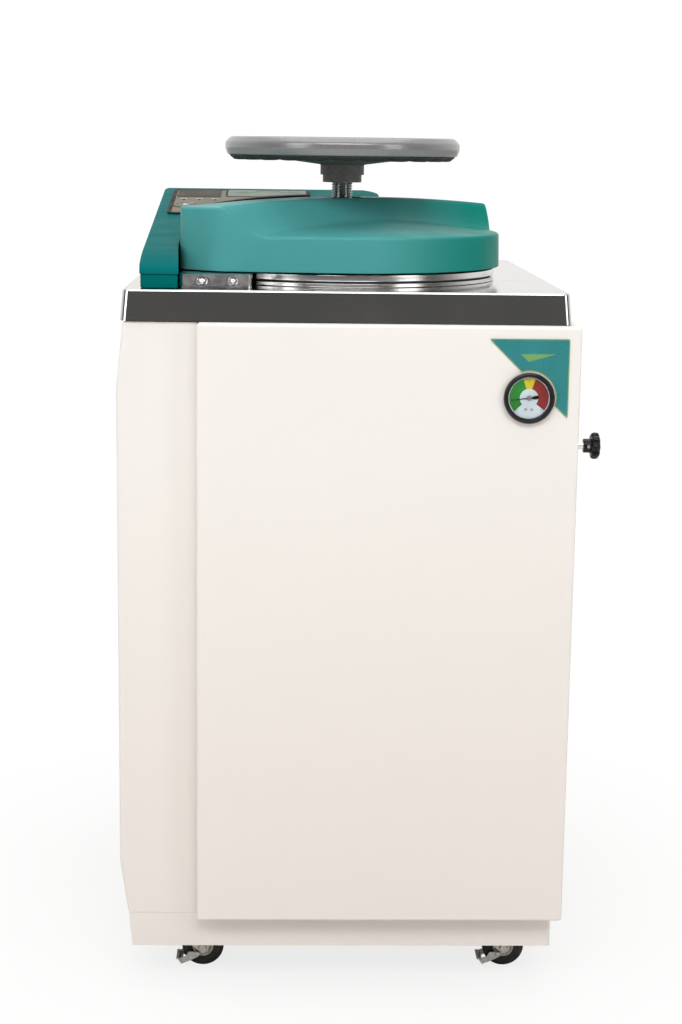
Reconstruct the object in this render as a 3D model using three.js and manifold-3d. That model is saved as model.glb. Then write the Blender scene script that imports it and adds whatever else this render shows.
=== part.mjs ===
// Floor-standing, top-loading steam autoclave on casters.
// Millimetres, +Z up, -Y is the front. The design is laid out from the point on the floor under the
// centre of the top plate, and the finished group is moved so that its box is centred on the origin.
import * as THREE from "three";
import { mergeVertices } from "three/addons/utils/BufferGeometryUtils.js";
import Module from "manifold-3d";

const wasm = await Module();
wasm.setup();

// ---------- driving dimensions ----------
const GAP = 0.3; // air between neighbouring pieces
const SHEET = 1.5; // cabinet sheet steel
const radians = THREE.MathUtils.degToRad;

// The cabinet.
const PLATE = { halfWidth: 253, halfDepth: 317.5, top: 833, sheet: 2, skirt: 35.3, draft: 3, corner: 10 };
const PLINTH = { left: -251, foot: -247, right: 255, halfDepth: 317, z0: 49, z1: 90.7, wall: 2, pad: 28 };
const PANEL = { x0: -168.7, x1: 264.5, front: -342.5, z0: 91, z1: 797, sheet: 2, edge: 3 };
const COLUMN = { x: -261, topX: -253, footX: -251.5, z0: 91, z1: 796.5, bevelTop: 721, bevelFoot: 155 };
const SIDE = { inset: 0.5, flange: 11.5 }; // right side panel, from the front panel's right edge
const LOUVRE = { rows: 7, pitch: 16, height: 5, x0: -90, x1: 90, z0: 560 };

// The pressure vessel and what stands in it.
const VESSEL = { inner: 150, wall: 3, floor: 215, flange: 189.9, flangeTop: 837.7 };
const JACKET = { gap: 3, thick: 18, above: 10, below: 40 };
const HEATER = { radius: 105, lift: 16, drop: 14, tube: 5, turns: 14 };
const GUARD = { inner: 15, outer: 143, lift: 38, thick: 2, holes: 6, hole: 12, circle: 85 };
const BASKET = { radius: 138, wall: 1.5, z0: 270, z1: 690, ear: 12 };
const BAIL = { inset: 8, wire: 2.5, lift: 5, steps: 12 };
const PROBE = { x: 40, z: 300, out: 33 };

// The lid, its arm and its closing screw.
const LID = { x: -0.6, y: -75, angle: radians(42.5) };
const COVER = { radius: 196, end: 240, flank: radians(43), bottom: 850, wall: 2.2, hole: 25 };
const NOSE = { end: 234.75, turn: radians(5.9), left: 192.5, front: 195, brow: 188, run: 40 };
const DECK = { crown: 931.8, fall: 10, halfWidth: 28, wall: 36, rim: 890.5, rise: 20 };
const HINGE = 218; // distance of the lid's pivot from the lid centre, along the arm
const BAR = { halfWidth: 19, z0: 878, z1: 900, hub: 30, bush: 18, nut: 20, pin: 12.4 };
const FOOT = { s: -222, neck: 4.6, head: 10.6, headZ: 840.4, base: 836.6 };
const CLOSURE = { bottom: 840, top: 848, radius: 189.8, boss: 22, bossTop: 862, seat: 850 };
const GASKET = { inner: 160, outer: 186 };
const SPINDLE = { radius: 13, nose: 8.6, bottom: 851, shoulder: 866, top: 967 };
const WHEEL = { radius: 144.6, rimTop: 1004, rimBottom: 982, hubTop: 976, hub: 27, hubFoot: 24 };
const POST = { foot: 17, pin: 12, footTop: 851, pinTop: 894 };
const LATCH = { x0: -190.4, x1: -108, y0: -292, y1: -203, z0: 833.3, z1: 848.7 };
const POCKETS = { at: [25.8, 61], half: 9.6, depth: 8 }; // in the latch's front, from its left end

// The console and its sloping control panel.
const CONSOLE = { left: -235, right: 55, back: 194, corner: 45, front: -305, slope: 0.1436, seam: 849 };
const WRAP = { front: -190.3, flank: -195.4, flankY: -216, radius: 200 }; // wall beside the lid
const KEYPAD = { x0: -221.5, x1: -38, y0: -12, y1: 167, thick: 2 };
const LCD = { x0: -215, x1: -157, y0: 108, y1: 161 };
const DIAGRAM = { x0: -148, x1: -43, y0: 115, y1: 163 };
const KEY = { x: -200, y: 42, radius: 16, stem: 5 };
const BOARD = { x0: -215, x1: -115, y0: 110, y1: 176, z0: 851, z1: 857 };

// Fittings.
const GAUGE = { x: 206, z: 717.5, radius: 28.85, bore: 24, proud: 7.5, depth: 22, rest: radians(7) };
const LABEL = { tip: 159.5, right: 250.5, foot: 694, top: 784 };
const VALVE = { y: -280, z: 653.9, knob: 15.6, stem: 3.5, hub: 8, hubX: 279, gripX: 289, endX: 298 };
const BOTTLE = { x: -215, y: -255, radius: 34, wall: 2.5, neck: 18, mouth: 8, z0: 130, z1: 330 };
const SOLENOID = { x: 210, y: 200, z: 471 };
const SAFETY = { x: 120, y: 190, z: 700 };
const DRAIN = { x: 120, z: 150 };
const GLAND = { x: -120, z: 150 };
const BREAKER = { x: -120, z: 700, halfWidth: 12, halfHeight: 22 };
const CASTER = { x: 185, y: 257, radius: 25.5, width: 17, trail: 20, top: 70, cheek: 2, side: 1.5 };

// ---------- finishes ----------
function finish(color, roughness, metalness) {
  return new THREE.MeshStandardMaterial({ color, roughness, metalness });
}

const white = finish(0xf2efea, 0.5, 0);
const steel = finish(0xc9c9c7, 0.18, 1);
const teal = finish(0x2f8f8a, 0.38, 0);
const darkTeal = finish(0x1b7474, 0.45, 0);
const castGrey = finish(0x6c6e70, 0.42, 0.7);
const chrome = finish(0xdddddd, 0.08, 1);
const zinc = finish(0xb9bcbc, 0.35, 0.9);
const black = finish(0x17171a, 0.45, 0);
const rubber = finish(0x222222, 0.8, 0);
const brass = finish(0xb08d4a, 0.35, 1);
const clear = finish(0xdfe8ea, 0.05, 0);
const brown = finish(0x3a2c2a, 0.5, 0);
const grey = finish(0x8d9488, 0.55, 0);
const paleGrey = finish(0xc4cdc4, 0.5, 0);
const wool = finish(0xd8d2c0, 0.95, 0);
const green = finish(0x2c6b45, 0.6, 0);

// ---------- solids ----------
// Merges shared vertices and turns the faces outwards.
function closed(geometry) {
  const bare = geometry.index ? geometry : geometry.clone();
  bare.deleteAttribute("normal");
  bare.deleteAttribute("uv");
  const merged = mergeVertices(bare, 1e-3);
  const p = merged.attributes.position;
  const index = merged.index.array;
  const [a, b, c] = [new THREE.Vector3(), new THREE.Vector3(), new THREE.Vector3()];
  let volume = 0;
  for (let i = 0; i < index.length; i += 3) {
    a.fromBufferAttribute(p, index[i]);
    b.fromBufferAttribute(p, index[i + 1]);
    c.fromBufferAttribute(p, index[i + 2]);
    volume += a.dot(b.cross(c));
  }
  if (volume < 0) index.reverse();
  return merged;
}

function toSolid(geometry) {
  const g = closed(geometry);
  const mesh = new wasm.Mesh({
    numProp: 3,
    vertProperties: g.attributes.position.array,
    triVerts: new Uint32Array(g.index.array),
  });
  return new wasm.Manifold(mesh);
}

function toGeometry(solid) {
  const mesh = solid.getMesh();
  const g = new THREE.BufferGeometry();
  g.setAttribute("position", new THREE.BufferAttribute(new Float32Array(mesh.vertProperties), 3));
  g.setIndex(new THREE.BufferAttribute(new Uint32Array(mesh.triVerts), 1));
  return g;
}

const join = (...parts) => toGeometry(parts.map(toSolid).reduce((a, b) => a.add(b)));
const cut = (part, ...cutters) =>
  toGeometry(cutters.map(toSolid).reduce((a, b) => a.subtract(b), toSolid(part)));
const common = (...parts) => toGeometry(parts.map(toSolid).reduce((a, b) => a.intersect(b)));

function box(x0, x1, y0, y1, z0, z1) {
  const g = new THREE.BoxGeometry(x1 - x0, y1 - y0, z1 - z0);
  return g.translate((x0 + x1) / 2, (y0 + y1) / 2, (z0 + z1) / 2);
}

// A profile of [radius, height] points turned about +Z; it starts and ends on the axis or closes on itself.
function turned(profile, segments = 32) {
  const onAxis = profile[0][0] === 0 && profile.at(-1)[0] === 0;
  const points = (onAxis ? profile : [...profile, profile[0]]).map(([r, z]) => new THREE.Vector2(r, z));
  return new THREE.LatheGeometry(points, segments).rotateX(Math.PI / 2);
}

const rod = (radius, z0, z1, segments = 24) =>
  turned([[0, z0], [radius, z0], [radius, z1], [0, z1]], segments);
const ring = (inner, outer, z0, z1, segments = 32) =>
  turned([[inner, z0], [outer, z0], [outer, z1], [inner, z1]], segments);
const alongX = (g) => g.rotateY(Math.PI / 2); // +Z becomes +X
const alongFront = (g) => g.rotateX(Math.PI / 2); // +Z becomes -Y

function roundedRect(x0, x1, y0, y1, r) {
  const s = new THREE.Shape();
  s.moveTo(x0 + r, y0);
  s.lineTo(x1 - r, y0);
  s.absarc(x1 - r, y0 + r, r, -Math.PI / 2, 0);
  s.lineTo(x1, y1 - r);
  s.absarc(x1 - r, y1 - r, r, 0, Math.PI / 2);
  s.lineTo(x0 + r, y1);
  s.absarc(x0 + r, y1 - r, r, Math.PI / 2, Math.PI);
  s.lineTo(x0, y0 + r);
  s.absarc(x0 + r, y0 + r, r, Math.PI, Math.PI * 1.5);
  return s;
}

const polygon = (points) => new THREE.Shape(points.map(([x, y]) => new THREE.Vector2(x, y)));

// Plan outline raised from z0 to z1.
function prism(shape, z0, z1, curveSegments = 4) {
  const options = { depth: z1 - z0, bevelEnabled: false, curveSegments };
  return new THREE.ExtrudeGeometry(shape, options).translate(0, 0, z0);
}

// Front-view outline (x, z) carried from y0 back to y1.
const frontPrism = (shape, y0, y1, curveSegments = 4) =>
  prism(shape, 0, y1 - y0, curveSegments).rotateX(Math.PI / 2).translate(0, y1, 0);

// Side-view outline (y, z) carried from x0 to x1.
function sidePrism(shape, x0, x1, curveSegments = 4) {
  const turn = new THREE.Matrix4().makeBasis(
    new THREE.Vector3(0, 1, 0),
    new THREE.Vector3(0, 0, 1),
    new THREE.Vector3(1, 0, 0),
  );
  return prism(shape, x0, x1, curveSegments).applyMatrix4(turn);
}

// A round bar of the given radius along a smooth curve through the points.
function bentTube(points, radius, steps = 24, arcSteps = 3) {
  const tension = 0.2;
  const corners = points.map((p) => new THREE.Vector3(...p));
  const extrudePath = new THREE.CatmullRomCurve3(corners, false, "catmullrom", tension);
  const shape = new THREE.Shape().absarc(0, 0, radius, 0, Math.PI * 2);
  const options = { steps, extrudePath, bevelEnabled: false, curveSegments: arcSteps };
  return new THREE.ExtrudeGeometry(shape, options);
}

// Skins a stack of equal rings of [x, y, z] points. The last ring joins the first.
function ringSkin(rings) {
  const n = rings[0].length;
  const g = new THREE.BufferGeometry();
  g.setAttribute("position", new THREE.Float32BufferAttribute(rings.flat(2), 3));
  const index = [];
  for (let k = 0; k < rings.length; k++) {
    for (let i = 0; i < n; i++) {
      const [a, b] = [k * n + i, k * n + ((i + 1) % n)];
      const next = (k + 1) % rings.length;
      const [c, d] = [next * n + i, next * n + ((i + 1) % n)];
      index.push(a, b, d, a, d, c);
    }
  }
  g.setIndex(index);
  return g;
}

// ---------- the tree ----------
const root = new THREE.Group();
const frame = new THREE.Group();
root.add(frame);
const lidGroup = new THREE.Group(); // lid centre, +X along the arm towards the hinge
lidGroup.position.set(LID.x, LID.y, 0);
lidGroup.rotation.z = LID.angle;
frame.add(lidGroup);
const chamber = new THREE.Group(); // lid centre, square to the cabinet
chamber.position.set(LID.x, LID.y, 0);
frame.add(chamber);

function add(name, geometry, material, parent = frame) {
  const mesh = new THREE.Mesh(closed(geometry), material);
  mesh.name = name;
  parent.add(mesh);
  return mesh;
}

// ---------- cabinet ----------
// A pan under the cabinet, its left end leaning in with the left cover, and a pad for each caster.
function plinth() {
  const { left, foot, right, halfDepth: d, z0, z1, wall, pad } = PLINTH;
  const outline = (e) =>
    polygon([[foot + e, z0 - e], [right - e, z0 - e], [right - e, z1 - e], [left + e, z1 - e]]);
  const pads = [-1, 1].flatMap((sx) =>
    [-1, 1].map((sy) => {
      const [cx, cy] = [sx * CASTER.x, sy * CASTER.y];
      return box(cx - pad, cx + pad, cy - pad, cy + pad, CASTER.top + GAP, z1 - 1);
    }),
  );
  const shell = cut(
    common(prism(roundedRect(left, right, -d, d, 4), z0, z1), frontPrism(outline(0), -d, d)),
    frontPrism(outline(wall), -d + wall, d - wall),
  );
  return join(shell, ...pads);
}

// Outline of the left cover seen from the front, drawn in by the sheet thickness e.
function columnOutline(e) {
  const { x, topX, footX, z0, z1, bevelTop, bevelFoot } = COLUMN;
  const right = PANEL.x0 - GAP + (e ? 1 : 0);
  return polygon([
    [right, z0 + e],
    [footX + e, z0 + e],
    [x + e, bevelFoot],
    [x + e, bevelTop],
    [topX + e, z1 - e],
    [right, z1 - e],
  ]);
}

function leftSideCover() {
  const d = PLINTH.halfDepth;
  return cut(
    frontPrism(columnOutline(0), -d, d),
    frontPrism(columnOutline(SHEET), -d + SHEET, d - SHEET),
  );
}

// A folded pan with softened front edges and a hole for the gauge.
function frontPanel() {
  const { x0, x1, front, z0, z1, sheet, edge } = PANEL;
  const back = -PLINTH.halfDepth - 0.8;
  const skin = new THREE.ExtrudeGeometry(roundedRect(x0 + edge, x1 - edge, z0 + edge, z1 - edge, 4), {
    depth: back - front - edge,
    bevelEnabled: true,
    bevelThickness: edge,
    bevelSize: edge,
    bevelSegments: 2,
    curveSegments: 3,
  });
  skin.rotateX(Math.PI / 2).translate(0, back, 0);
  const hollow = box(x0 + sheet, x1 - sheet, front + sheet, back + 10, z0 + sheet, z1 - sheet);
  const backEdge = box(x0 - 1, x1 + 1, back, back + 10, z0 - 1, z1 + 1);
  const hole = alongFront(rod(GAUGE.bore + 1, 0, 60)).translate(GAUGE.x, back + 10, GAUGE.z);
  return cut(skin, hollow, backEdge, hole);
}

function rightSidePanel() {
  const { z0, z1 } = PANEL;
  const d = PLINTH.halfDepth;
  const outside = PANEL.x1 - SIDE.inset;
  const pan = cut(
    box(outside - SIDE.flange, outside, -d, d, z0, z1),
    box(outside - SIDE.flange - 2, outside - SHEET, -d + SHEET, d - SHEET, z0 + SHEET, z1 - SHEET),
  );
  return cut(pan, alongX(rod(7, outside - 20, outside + 10)).translate(0, VALVE.y, VALVE.z));
}

// The rear sheet, with cooling slots and holes for the fittings that pass through it.
function rearPanel() {
  const x0 = PANEL.x0 + GAP;
  const x1 = PANEL.x1 - SIDE.inset - SIDE.flange - GAP;
  const y = PLINTH.halfDepth;
  const slots = [];
  for (let i = 0; i < LOUVRE.rows; i++) {
    const z = LOUVRE.z0 + i * LOUVRE.pitch;
    slots.push(box(LOUVRE.x0, LOUVRE.x1, y - 5, y + 5, z, z + LOUVRE.height));
  }
  const w = BREAKER.halfWidth + 1;
  const h = BREAKER.halfHeight + 1;
  const breaker = box(BREAKER.x - w, BREAKER.x + w, y - 5, y + 5, BREAKER.z - h, BREAKER.z + h);
  const drain = alongFront(rod(10, -20, 20)).translate(DRAIN.x, y, DRAIN.z);
  const gland = alongFront(rod(9.5, -20, 20)).translate(GLAND.x, y, GLAND.z);
  return cut(box(x0, x1, y - SHEET, y, PANEL.z0, PANEL.z1), ...slots, breaker, drain, gland);
}

function topPlate() {
  const { halfWidth: w, halfDepth: d, top, sheet, skirt, draft, corner } = PLATE;
  // The skirt leans out towards its lower edge, by the draft over its depth.
  const leaning = (inset, z0, z1) => {
    const g = prism(roundedRect(-w + inset, w - inset, -d + inset, d - inset, corner), z0, z1, 3);
    const p = g.attributes.position;
    for (let i = 0; i < p.count; i++) {
      const low = (top - p.getZ(i)) / skirt;
      p.setX(i, p.getX(i) * (1 + (draft * low) / w));
      p.setY(i, p.getY(i) * (1 + (draft * low) / d));
    }
    return g;
  };
  const shell = cut(leaning(0, top - skirt, top), leaning(sheet, top - skirt - 2, top - sheet));
  const mouth = rod(VESSEL.inner + VESSEL.wall + 2, top - 10, top + 10, 48);
  return cut(shell, mouth.translate(LID.x, LID.y, 0));
}

// ---------- pressure vessel and what it holds ----------
// A cylinder with a dished end: each outer point of the dish has an inner one above it.
function pressureVessel() {
  const { inner: r, wall, floor } = VESSEL;
  const top = PLATE.top - GAP;
  const outside = [[0, floor - 25], [r * 0.6, floor - 17], [r * 0.95, floor - 3], [r + wall, floor + 18]];
  const inside = [[r, floor + 20], [r * 0.93, floor + 3], [r * 0.58, floor - 12], [0, floor - 19]];
  return turned([...outside, [r + wall, top], [r, top], ...inside], 40);
}

const vesselFlange = () => ring(VESSEL.inner + 1, VESSEL.flange, PLATE.top + GAP, VESSEL.flangeTop, 40);

function insulationJacket() {
  const inner = VESSEL.inner + VESSEL.wall + JACKET.gap;
  return ring(inner, inner + JACKET.thick, VESSEL.floor + JACKET.above, PLATE.top - JACKET.below, 24);
}

// One turn of tube above the vessel floor, its two ends turned down towards the terminals.
function heaterElement() {
  const { radius, lift, drop, tube, turns } = HEATER;
  const z = VESSEL.floor + lift;
  const end = (y) => [radius, y, z - drop];
  const points = [end(12)];
  for (let i = 0; i <= turns; i++) {
    const a = radians(8 + (344 * i) / turns);
    points.push([radius * Math.cos(a), radius * Math.sin(a), z]);
  }
  points.push(end(-12));
  return bentTube(points, tube, 36);
}

function heaterGuard() {
  const { inner, outer, lift, thick, holes, hole, circle } = GUARD;
  const z = VESSEL.floor + lift;
  const cutters = [];
  for (let i = 0; i < holes; i++) {
    const a = (i / holes) * Math.PI * 2;
    cutters.push(rod(hole, z - 5, z + 10, 8).translate(circle * Math.cos(a), circle * Math.sin(a), 0));
  }
  return cut(ring(inner, outer, z, z + thick, 40), ...cutters);
}

// A cup with an ear on each side for the handle's ends.
function basket() {
  const { radius: r, wall, z0, z1, ear } = BASKET;
  const cup = turned([[0, z0], [r, z0], [r, z1], [r - wall, z1], [r - wall, z0 + wall], [0, z0 + wall]], 40);
  const ears = [-1, 1].map((side) => {
    const [a, b] = [side * (r - 4.5), side * (r - 0.4)].sort((p, q) => p - q);
    return box(a, b, -7, 7, z1 - ear, z1 + ear);
  });
  return join(cup, ...ears);
}

function basketBail() {
  const reach = BASKET.radius - BAIL.inset;
  const points = [[-reach - 3, 0, 0]];
  for (let i = 0; i <= BAIL.steps; i++) {
    const a = Math.PI + (Math.PI * i) / BAIL.steps;
    points.push([reach * Math.cos(a), reach * Math.sin(a), 0]);
  }
  points.push([reach + 3, 0, 0]);
  return bentTube(points, BAIL.wire, 28).translate(0, 0, BASKET.z1 + BAIL.lift);
}

// ---------- lid ----------
const softMin = (a, b, k) => {
  const h = Math.max(k - Math.abs(a - b), 0) / k;
  return Math.min(a, b) - (h * h * k) / 4;
};

// Distance from the lid centre to the cover's edge, at an angle from the arm: a circle, with two straight
// flanks running out to a flat end at the hinge and at the nose. The nose's flanks stand a little closer
// and its end is turned a little to the front.
function coverRadius(angle) {
  const c = Math.cos(angle);
  const atNose = c < 0;
  const noseReach = Math.sin(angle) > 0 ? NOSE.left : NOSE.front;
  const fromArm = Math.acos(Math.min(1, Math.abs(c)));
  const flankAt = (atNose ? noseReach : COVER.radius) / Math.cos(COVER.flank - fromArm);
  if (fromArm >= COVER.flank) return Math.min(COVER.radius, flankAt);
  const endAt = atNose ? -NOSE.end / Math.cos(angle - NOSE.turn) : COVER.end / c;
  return softMin(flankAt, endAt, 14);
}

// Height of the cover's top: a crowned deck along the arm, a dished scoop on each side of it, and a
// brow across the nose where the scoops end.
function coverHeight(s, t) {
  const { clamp } = THREE.MathUtils;
  const r = Math.hypot(s, t);
  const deck = DECK.crown - DECK.fall * (r / COVER.end) ** 2;
  const dish = DECK.rim + DECK.rise * (1 - r / COVER.radius);
  const across = clamp((Math.abs(t) - DECK.halfWidth) / DECK.wall, 0, 1);
  const scoop = 1 - (1 - across) ** 2.2;
  const along = clamp((-s - NOSE.brow) / NOSE.run, 0, 1);
  return deck - (deck - dish) * scoop * (1 - along ** 2) ** 1.3;
}

function lidCover() {
  const count = 64;
  const edge = 2.5; // the top's outermost ring is lowered by this, as a chamfer
  const { bottom, wall, hole } = COVER;
  const circle = (radiusAt, heightAt) =>
    Array.from({ length: count }, (_, i) => {
      const a = (i / count) * Math.PI * 2;
      const r = radiusAt(a);
      const [s, t] = [r * Math.cos(a), r * Math.sin(a)];
      return [s, t, heightAt(s, t)];
    });
  const outer = [0, 0.15, 0.3, 0.47, 0.66, 0.84, 0.985, 1];
  const inner = [1, 0.8, 0.5, 0.2, 0];
  const outside = outer.map((k) =>
    circle((a) => hole + k * (coverRadius(a) - hole), (s, t) => coverHeight(s, t) - (k === 1 ? edge : 0)),
  );
  const inside = inner.map((k) =>
    circle((a) => hole + k * (coverRadius(a) - wall - hole), (s, t) => coverHeight(s, t) - wall - 2),
  );
  const skirt = [circle(coverRadius, () => bottom), circle((a) => coverRadius(a) - wall, () => bottom)];
  return ringSkin([...outside, ...skirt, ...inside]);
}

// The foot's section turned about the hinge, grown by the slack.
function footRing(slack) {
  const r = HINGE - FOOT.s;
  const { neck, head, headZ, base } = FOOT;
  const top = BAR.z0 + 4;
  return turned(
    [
      [r - head - slack, base - slack], [r + head + slack, base - slack], [r + head + slack, headZ + slack],
      [r + neck + slack, headZ + slack], [r + neck + slack, top], [r - neck - slack, top],
      [r - neck - slack, headZ + slack], [r - head - slack, headZ + slack],
    ],
    360,
  ).translate(HINGE, 0, 0);
}

// The bar that carries the closing force: hinge bush at one end, hooked foot at the other, nut seat midway.
function lidCrossbar() {
  const { halfWidth: w, z0, z1, hub, bush, nut, pin } = BAR;
  const beam = prism(roundedRect(FOOT.s - 7, HINGE, -w, w, 8), z0, z1);
  const foot = common(footRing(0), box(FOOT.s - 14, FOOT.s + 14, -10, 10, 800, 900));
  const body = join(
    beam,
    rod(hub, z0 - 2, z1 + 4),
    rod(bush, POST.footTop + 2, z1 + 2).translate(HINGE, 0, 0),
    foot,
  );
  return cut(body, rod(nut, 800, 1000), rod(pin, 800, z1 - 2).translate(HINGE, 0, 0));
}

const bridgeNut = () => ring(SPINDLE.radius + 0.35, BAR.nut - 0.4, BAR.z0 - 1.5, BAR.z1 + 4, 32);

// The closing plate: a raised rim over the gasket and a boss that the spindle's nose turns in.
function lidPlate() {
  const { bottom, top, radius, boss, bossTop, seat } = CLOSURE;
  const bore = SPINDLE.nose + 0.4;
  return turned(
    [
      [0, bottom + 2], [140, bottom + 2], [143, bottom], [radius, bottom], [radius, top], [40, top],
      [boss, top + 6], [boss, bossTop], [bore, bossTop], [bore, seat], [0, seat],
    ],
    40,
  );
}

const lidGasket = () =>
  ring(GASKET.inner, GASKET.outer, VESSEL.flangeTop + 0.25, CLOSURE.bottom - 0.15, 40);

function spindle() {
  const { radius, nose, bottom, shoulder, top } = SPINDLE;
  const journal = [[0, bottom], [nose, bottom], [nose, shoulder]];
  return turned([...journal, [radius, shoulder], [radius, top], [0, top]], 32);
}

// From the axis: blind bore, two-step hub, web, finger grip under the rim, rounded rim, dished top.
function handwheel() {
  const { radius: R, rimTop, rimBottom, hubTop, hub, hubFoot } = WHEEL;
  const bore = SPINDLE.radius + GAP;
  const roof = SPINDLE.top + 1;
  const foot = hubTop - 26.4;
  const step = hubTop - 17.3;
  const under = [[0, roof], [bore, roof], [bore, foot], [hubFoot, foot], [hubFoot, step], [hub, step]];
  const web = [[hub, hubTop - 5], [66, hubTop], [118, rimBottom - 1]];
  const grip = [[R - 18, rimBottom - 6], [R - 10, rimBottom - 6], [R - 3, rimBottom]];
  const rim = [[R, rimBottom + 8], [R - 1, rimTop - 5], [R - 7, rimTop - 1], [R - 18, rimTop]];
  const dish = [[R - 30, rimTop - 5], [R - 40, rimTop - 12], [40, rimTop - 16], [0, rimTop - 14]];
  return turned([...under, ...web, ...grip, ...rim, ...dish], 40);
}

// ---------- latch and hinge on the top plate ----------
// A block beside the lid: a curved slot takes the crossbar's foot, and two pockets lighten its front.
function latchBlock() {
  const { x0, x1, y0, y1, z0, z1 } = LATCH;
  const { at, half, depth } = POCKETS;
  const body = prism(roundedRect(x0, x1, y0, y1, 5), z0, z1);
  const toCabinet = (g) => g.rotateZ(LID.angle).translate(LID.x, LID.y, 0);
  const slot = toCabinet(footRing(0.6));
  const sweep = HINGE + CLOSURE.radius + 1.5;
  const lidPath = toCabinet(rod(sweep, z0 - 5, z1 + 5, 120).translate(HINGE, 0, 0));
  const pocket = (x) => box(x0 + x - half, x0 + x + half, y0 - 1, y0 + depth, z0 + 2.5, z1 - 2.5);
  return cut(body, slot, lidPath, ...at.map(pocket));
}

function hingePost() {
  const { foot, pin, footTop, pinTop } = POST;
  const z0 = PLATE.top + GAP;
  const profile = [[0, z0], [foot, z0], [foot, footTop], [pin, footTop + 1], [pin, pinTop], [0, pinTop + 2]];
  return turned(profile, 32).translate(HINGE, 0, 0);
}

// ---------- console ----------
// Plan outline, drawn in by e, wrapped round the lid on its left and rear.
function consolePlan(e) {
  const { left, right, back, corner, front } = CONSOLE;
  const r = WRAP.radius + e;
  const meet = Math.acos((WRAP.flank - e - LID.x) / r);
  const tangent = LID.angle + COVER.flank; // where the cover's flank leaves its circle
  const exitY = (r - (right - e - LID.x) * Math.cos(tangent)) / Math.sin(tangent);
  const s = new THREE.Shape();
  s.moveTo(left + e, front + e);
  s.lineTo(WRAP.front - e, front + e);
  s.lineTo(WRAP.flank - e, WRAP.flankY);
  s.absarc(LID.x, LID.y, r, -meet, tangent, true);
  s.lineTo(right - e, LID.y + exitY);
  s.lineTo(right - e, back - corner);
  s.absarc(right - corner, back - corner, corner - e, 0, Math.PI / 2);
  s.lineTo(left + e, back - e);
  return s;
}

// Height of the sloping top; it starts behind the nose.
const SLOPE_START = { y: -216, z: 876 };
const consoleTop = (y) => SLOPE_START.z + (y - SLOPE_START.y) * CONSOLE.slope;

// Side outline of the shell above the seam, drawn in by e: rounded nose, sloping top, small rear corner.
function consoleSide(e, z0) {
  const { front, back } = CONSOLE;
  const heel = 8;
  const s = new THREE.Shape();
  s.moveTo(front + e, z0);
  s.bezierCurveTo(front + 1 + e, 862 - e, -262 + e, 870 - e, SLOPE_START.y, SLOPE_START.z - e);
  s.lineTo(back - heel, consoleTop(back - heel) - e);
  s.quadraticCurveTo(back - e, consoleTop(back) - 0.5 - e, back - e, consoleTop(back) - heel - e);
  s.lineTo(back - e, z0);
  return s;
}

function consoleBlock(e, z0) {
  const { left, right } = CONSOLE;
  return common(sidePrism(consoleSide(e, z0), left + e, right + 5, 10), prism(consolePlan(e), z0, 960, 12));
}

// The part of the panel that carries the keypad, drawn in by e.
const panelOpening = (e) =>
  common(
    box(KEYPAD.x0 + e, KEYPAD.x1 - e, KEYPAD.y0 + e, KEYPAD.y1 - e, 870, 960),
    prism(consolePlan(8 + e), 860, 970, 12),
  );

function consoleShell() {
  return cut(consoleBlock(0, CONSOLE.seam + GAP), consoleBlock(3, CONSOLE.seam - 5), panelOpening(4));
}

function consoleBase() {
  const z1 = CONSOLE.seam;
  const z0 = PLATE.top + GAP;
  return cut(prism(consolePlan(1), z0, z1, 12), prism(consolePlan(4), z0 - 1, z1 + 1, 12));
}

// Pieces on the sloping panel are drawn flat and tipped about the panel's front edge.
function onPanel(shape, z0, z1, curveSegments = 3) {
  return prism(shape, z0, z1, curveSegments)
    .translate(0, -KEYPAD.y0, 0)
    .rotateX(Math.atan(CONSOLE.slope))
    .translate(0, KEYPAD.y0, consoleTop(KEYPAD.y0));
}

function consoleBezel() {
  const { x0, x1, y0, y1, thick } = KEYPAD;
  const outer = common(
    onPanel(roundedRect(x0, x1, y0, y1, 8), GAP, GAP + thick),
    prism(consolePlan(8), 860, 970, 12),
  );
  const keyHole = new THREE.Shape().absarc(KEY.x, KEY.y, KEY.radius + 0.8, 0, Math.PI * 2);
  const pocket = (w) => onPanel(roundedRect(w.x0, w.x1, w.y0, w.y1, 4), GAP + 0.8, 10);
  return cut(outer, onPanel(keyHole, -5, 10, 12), pocket(LCD), pocket(DIAGRAM));
}

const glassPane = (w) =>
  onPanel(roundedRect(w.x0 + GAP, w.x1 - GAP, w.y0 + GAP, w.y1 - GAP, 4), 1.4, 2.2);

function startKey() {
  const face = new THREE.Shape().absarc(KEY.x, KEY.y, KEY.radius, 0, Math.PI * 2);
  const stem = new THREE.Shape().absarc(KEY.x, KEY.y, KEY.stem, 0, Math.PI * 2);
  return join(onPanel(face, 1.4, 3.6, 12), onPanel(stem, -8, 2, 6));
}

const controlBoard = () => box(BOARD.x0, BOARD.x1, BOARD.y0, BOARD.y1, BOARD.z0, BOARD.z1);

// ---------- pressure gauge and label ----------
const onGauge = (g) => alongFront(g).translate(GAUGE.x, PANEL.front, GAUGE.z);

// A cup through the panel with a bezel in front; heights are measured forward from the panel's face.
function gaugeCase() {
  const { radius: r, bore, proud, depth } = GAUGE;
  const outside = [[0, -depth], [bore, -depth], [bore, GAP], [r, GAP], [r, proud - 2], [r - 2, proud]];
  const inside = [[bore + 0.5, proud], [bore, proud - 1], [bore, 0.8], [0, 0.8]];
  return onGauge(turned([...outside, ...inside], 30));
}

const gaugeDial = () => onGauge(rod(GAUGE.bore - 0.5, 1.1, 2, 30));
const gaugeLens = () => onGauge(rod(GAUGE.bore - 0.5, 5.2, 6.2, 30));

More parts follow.
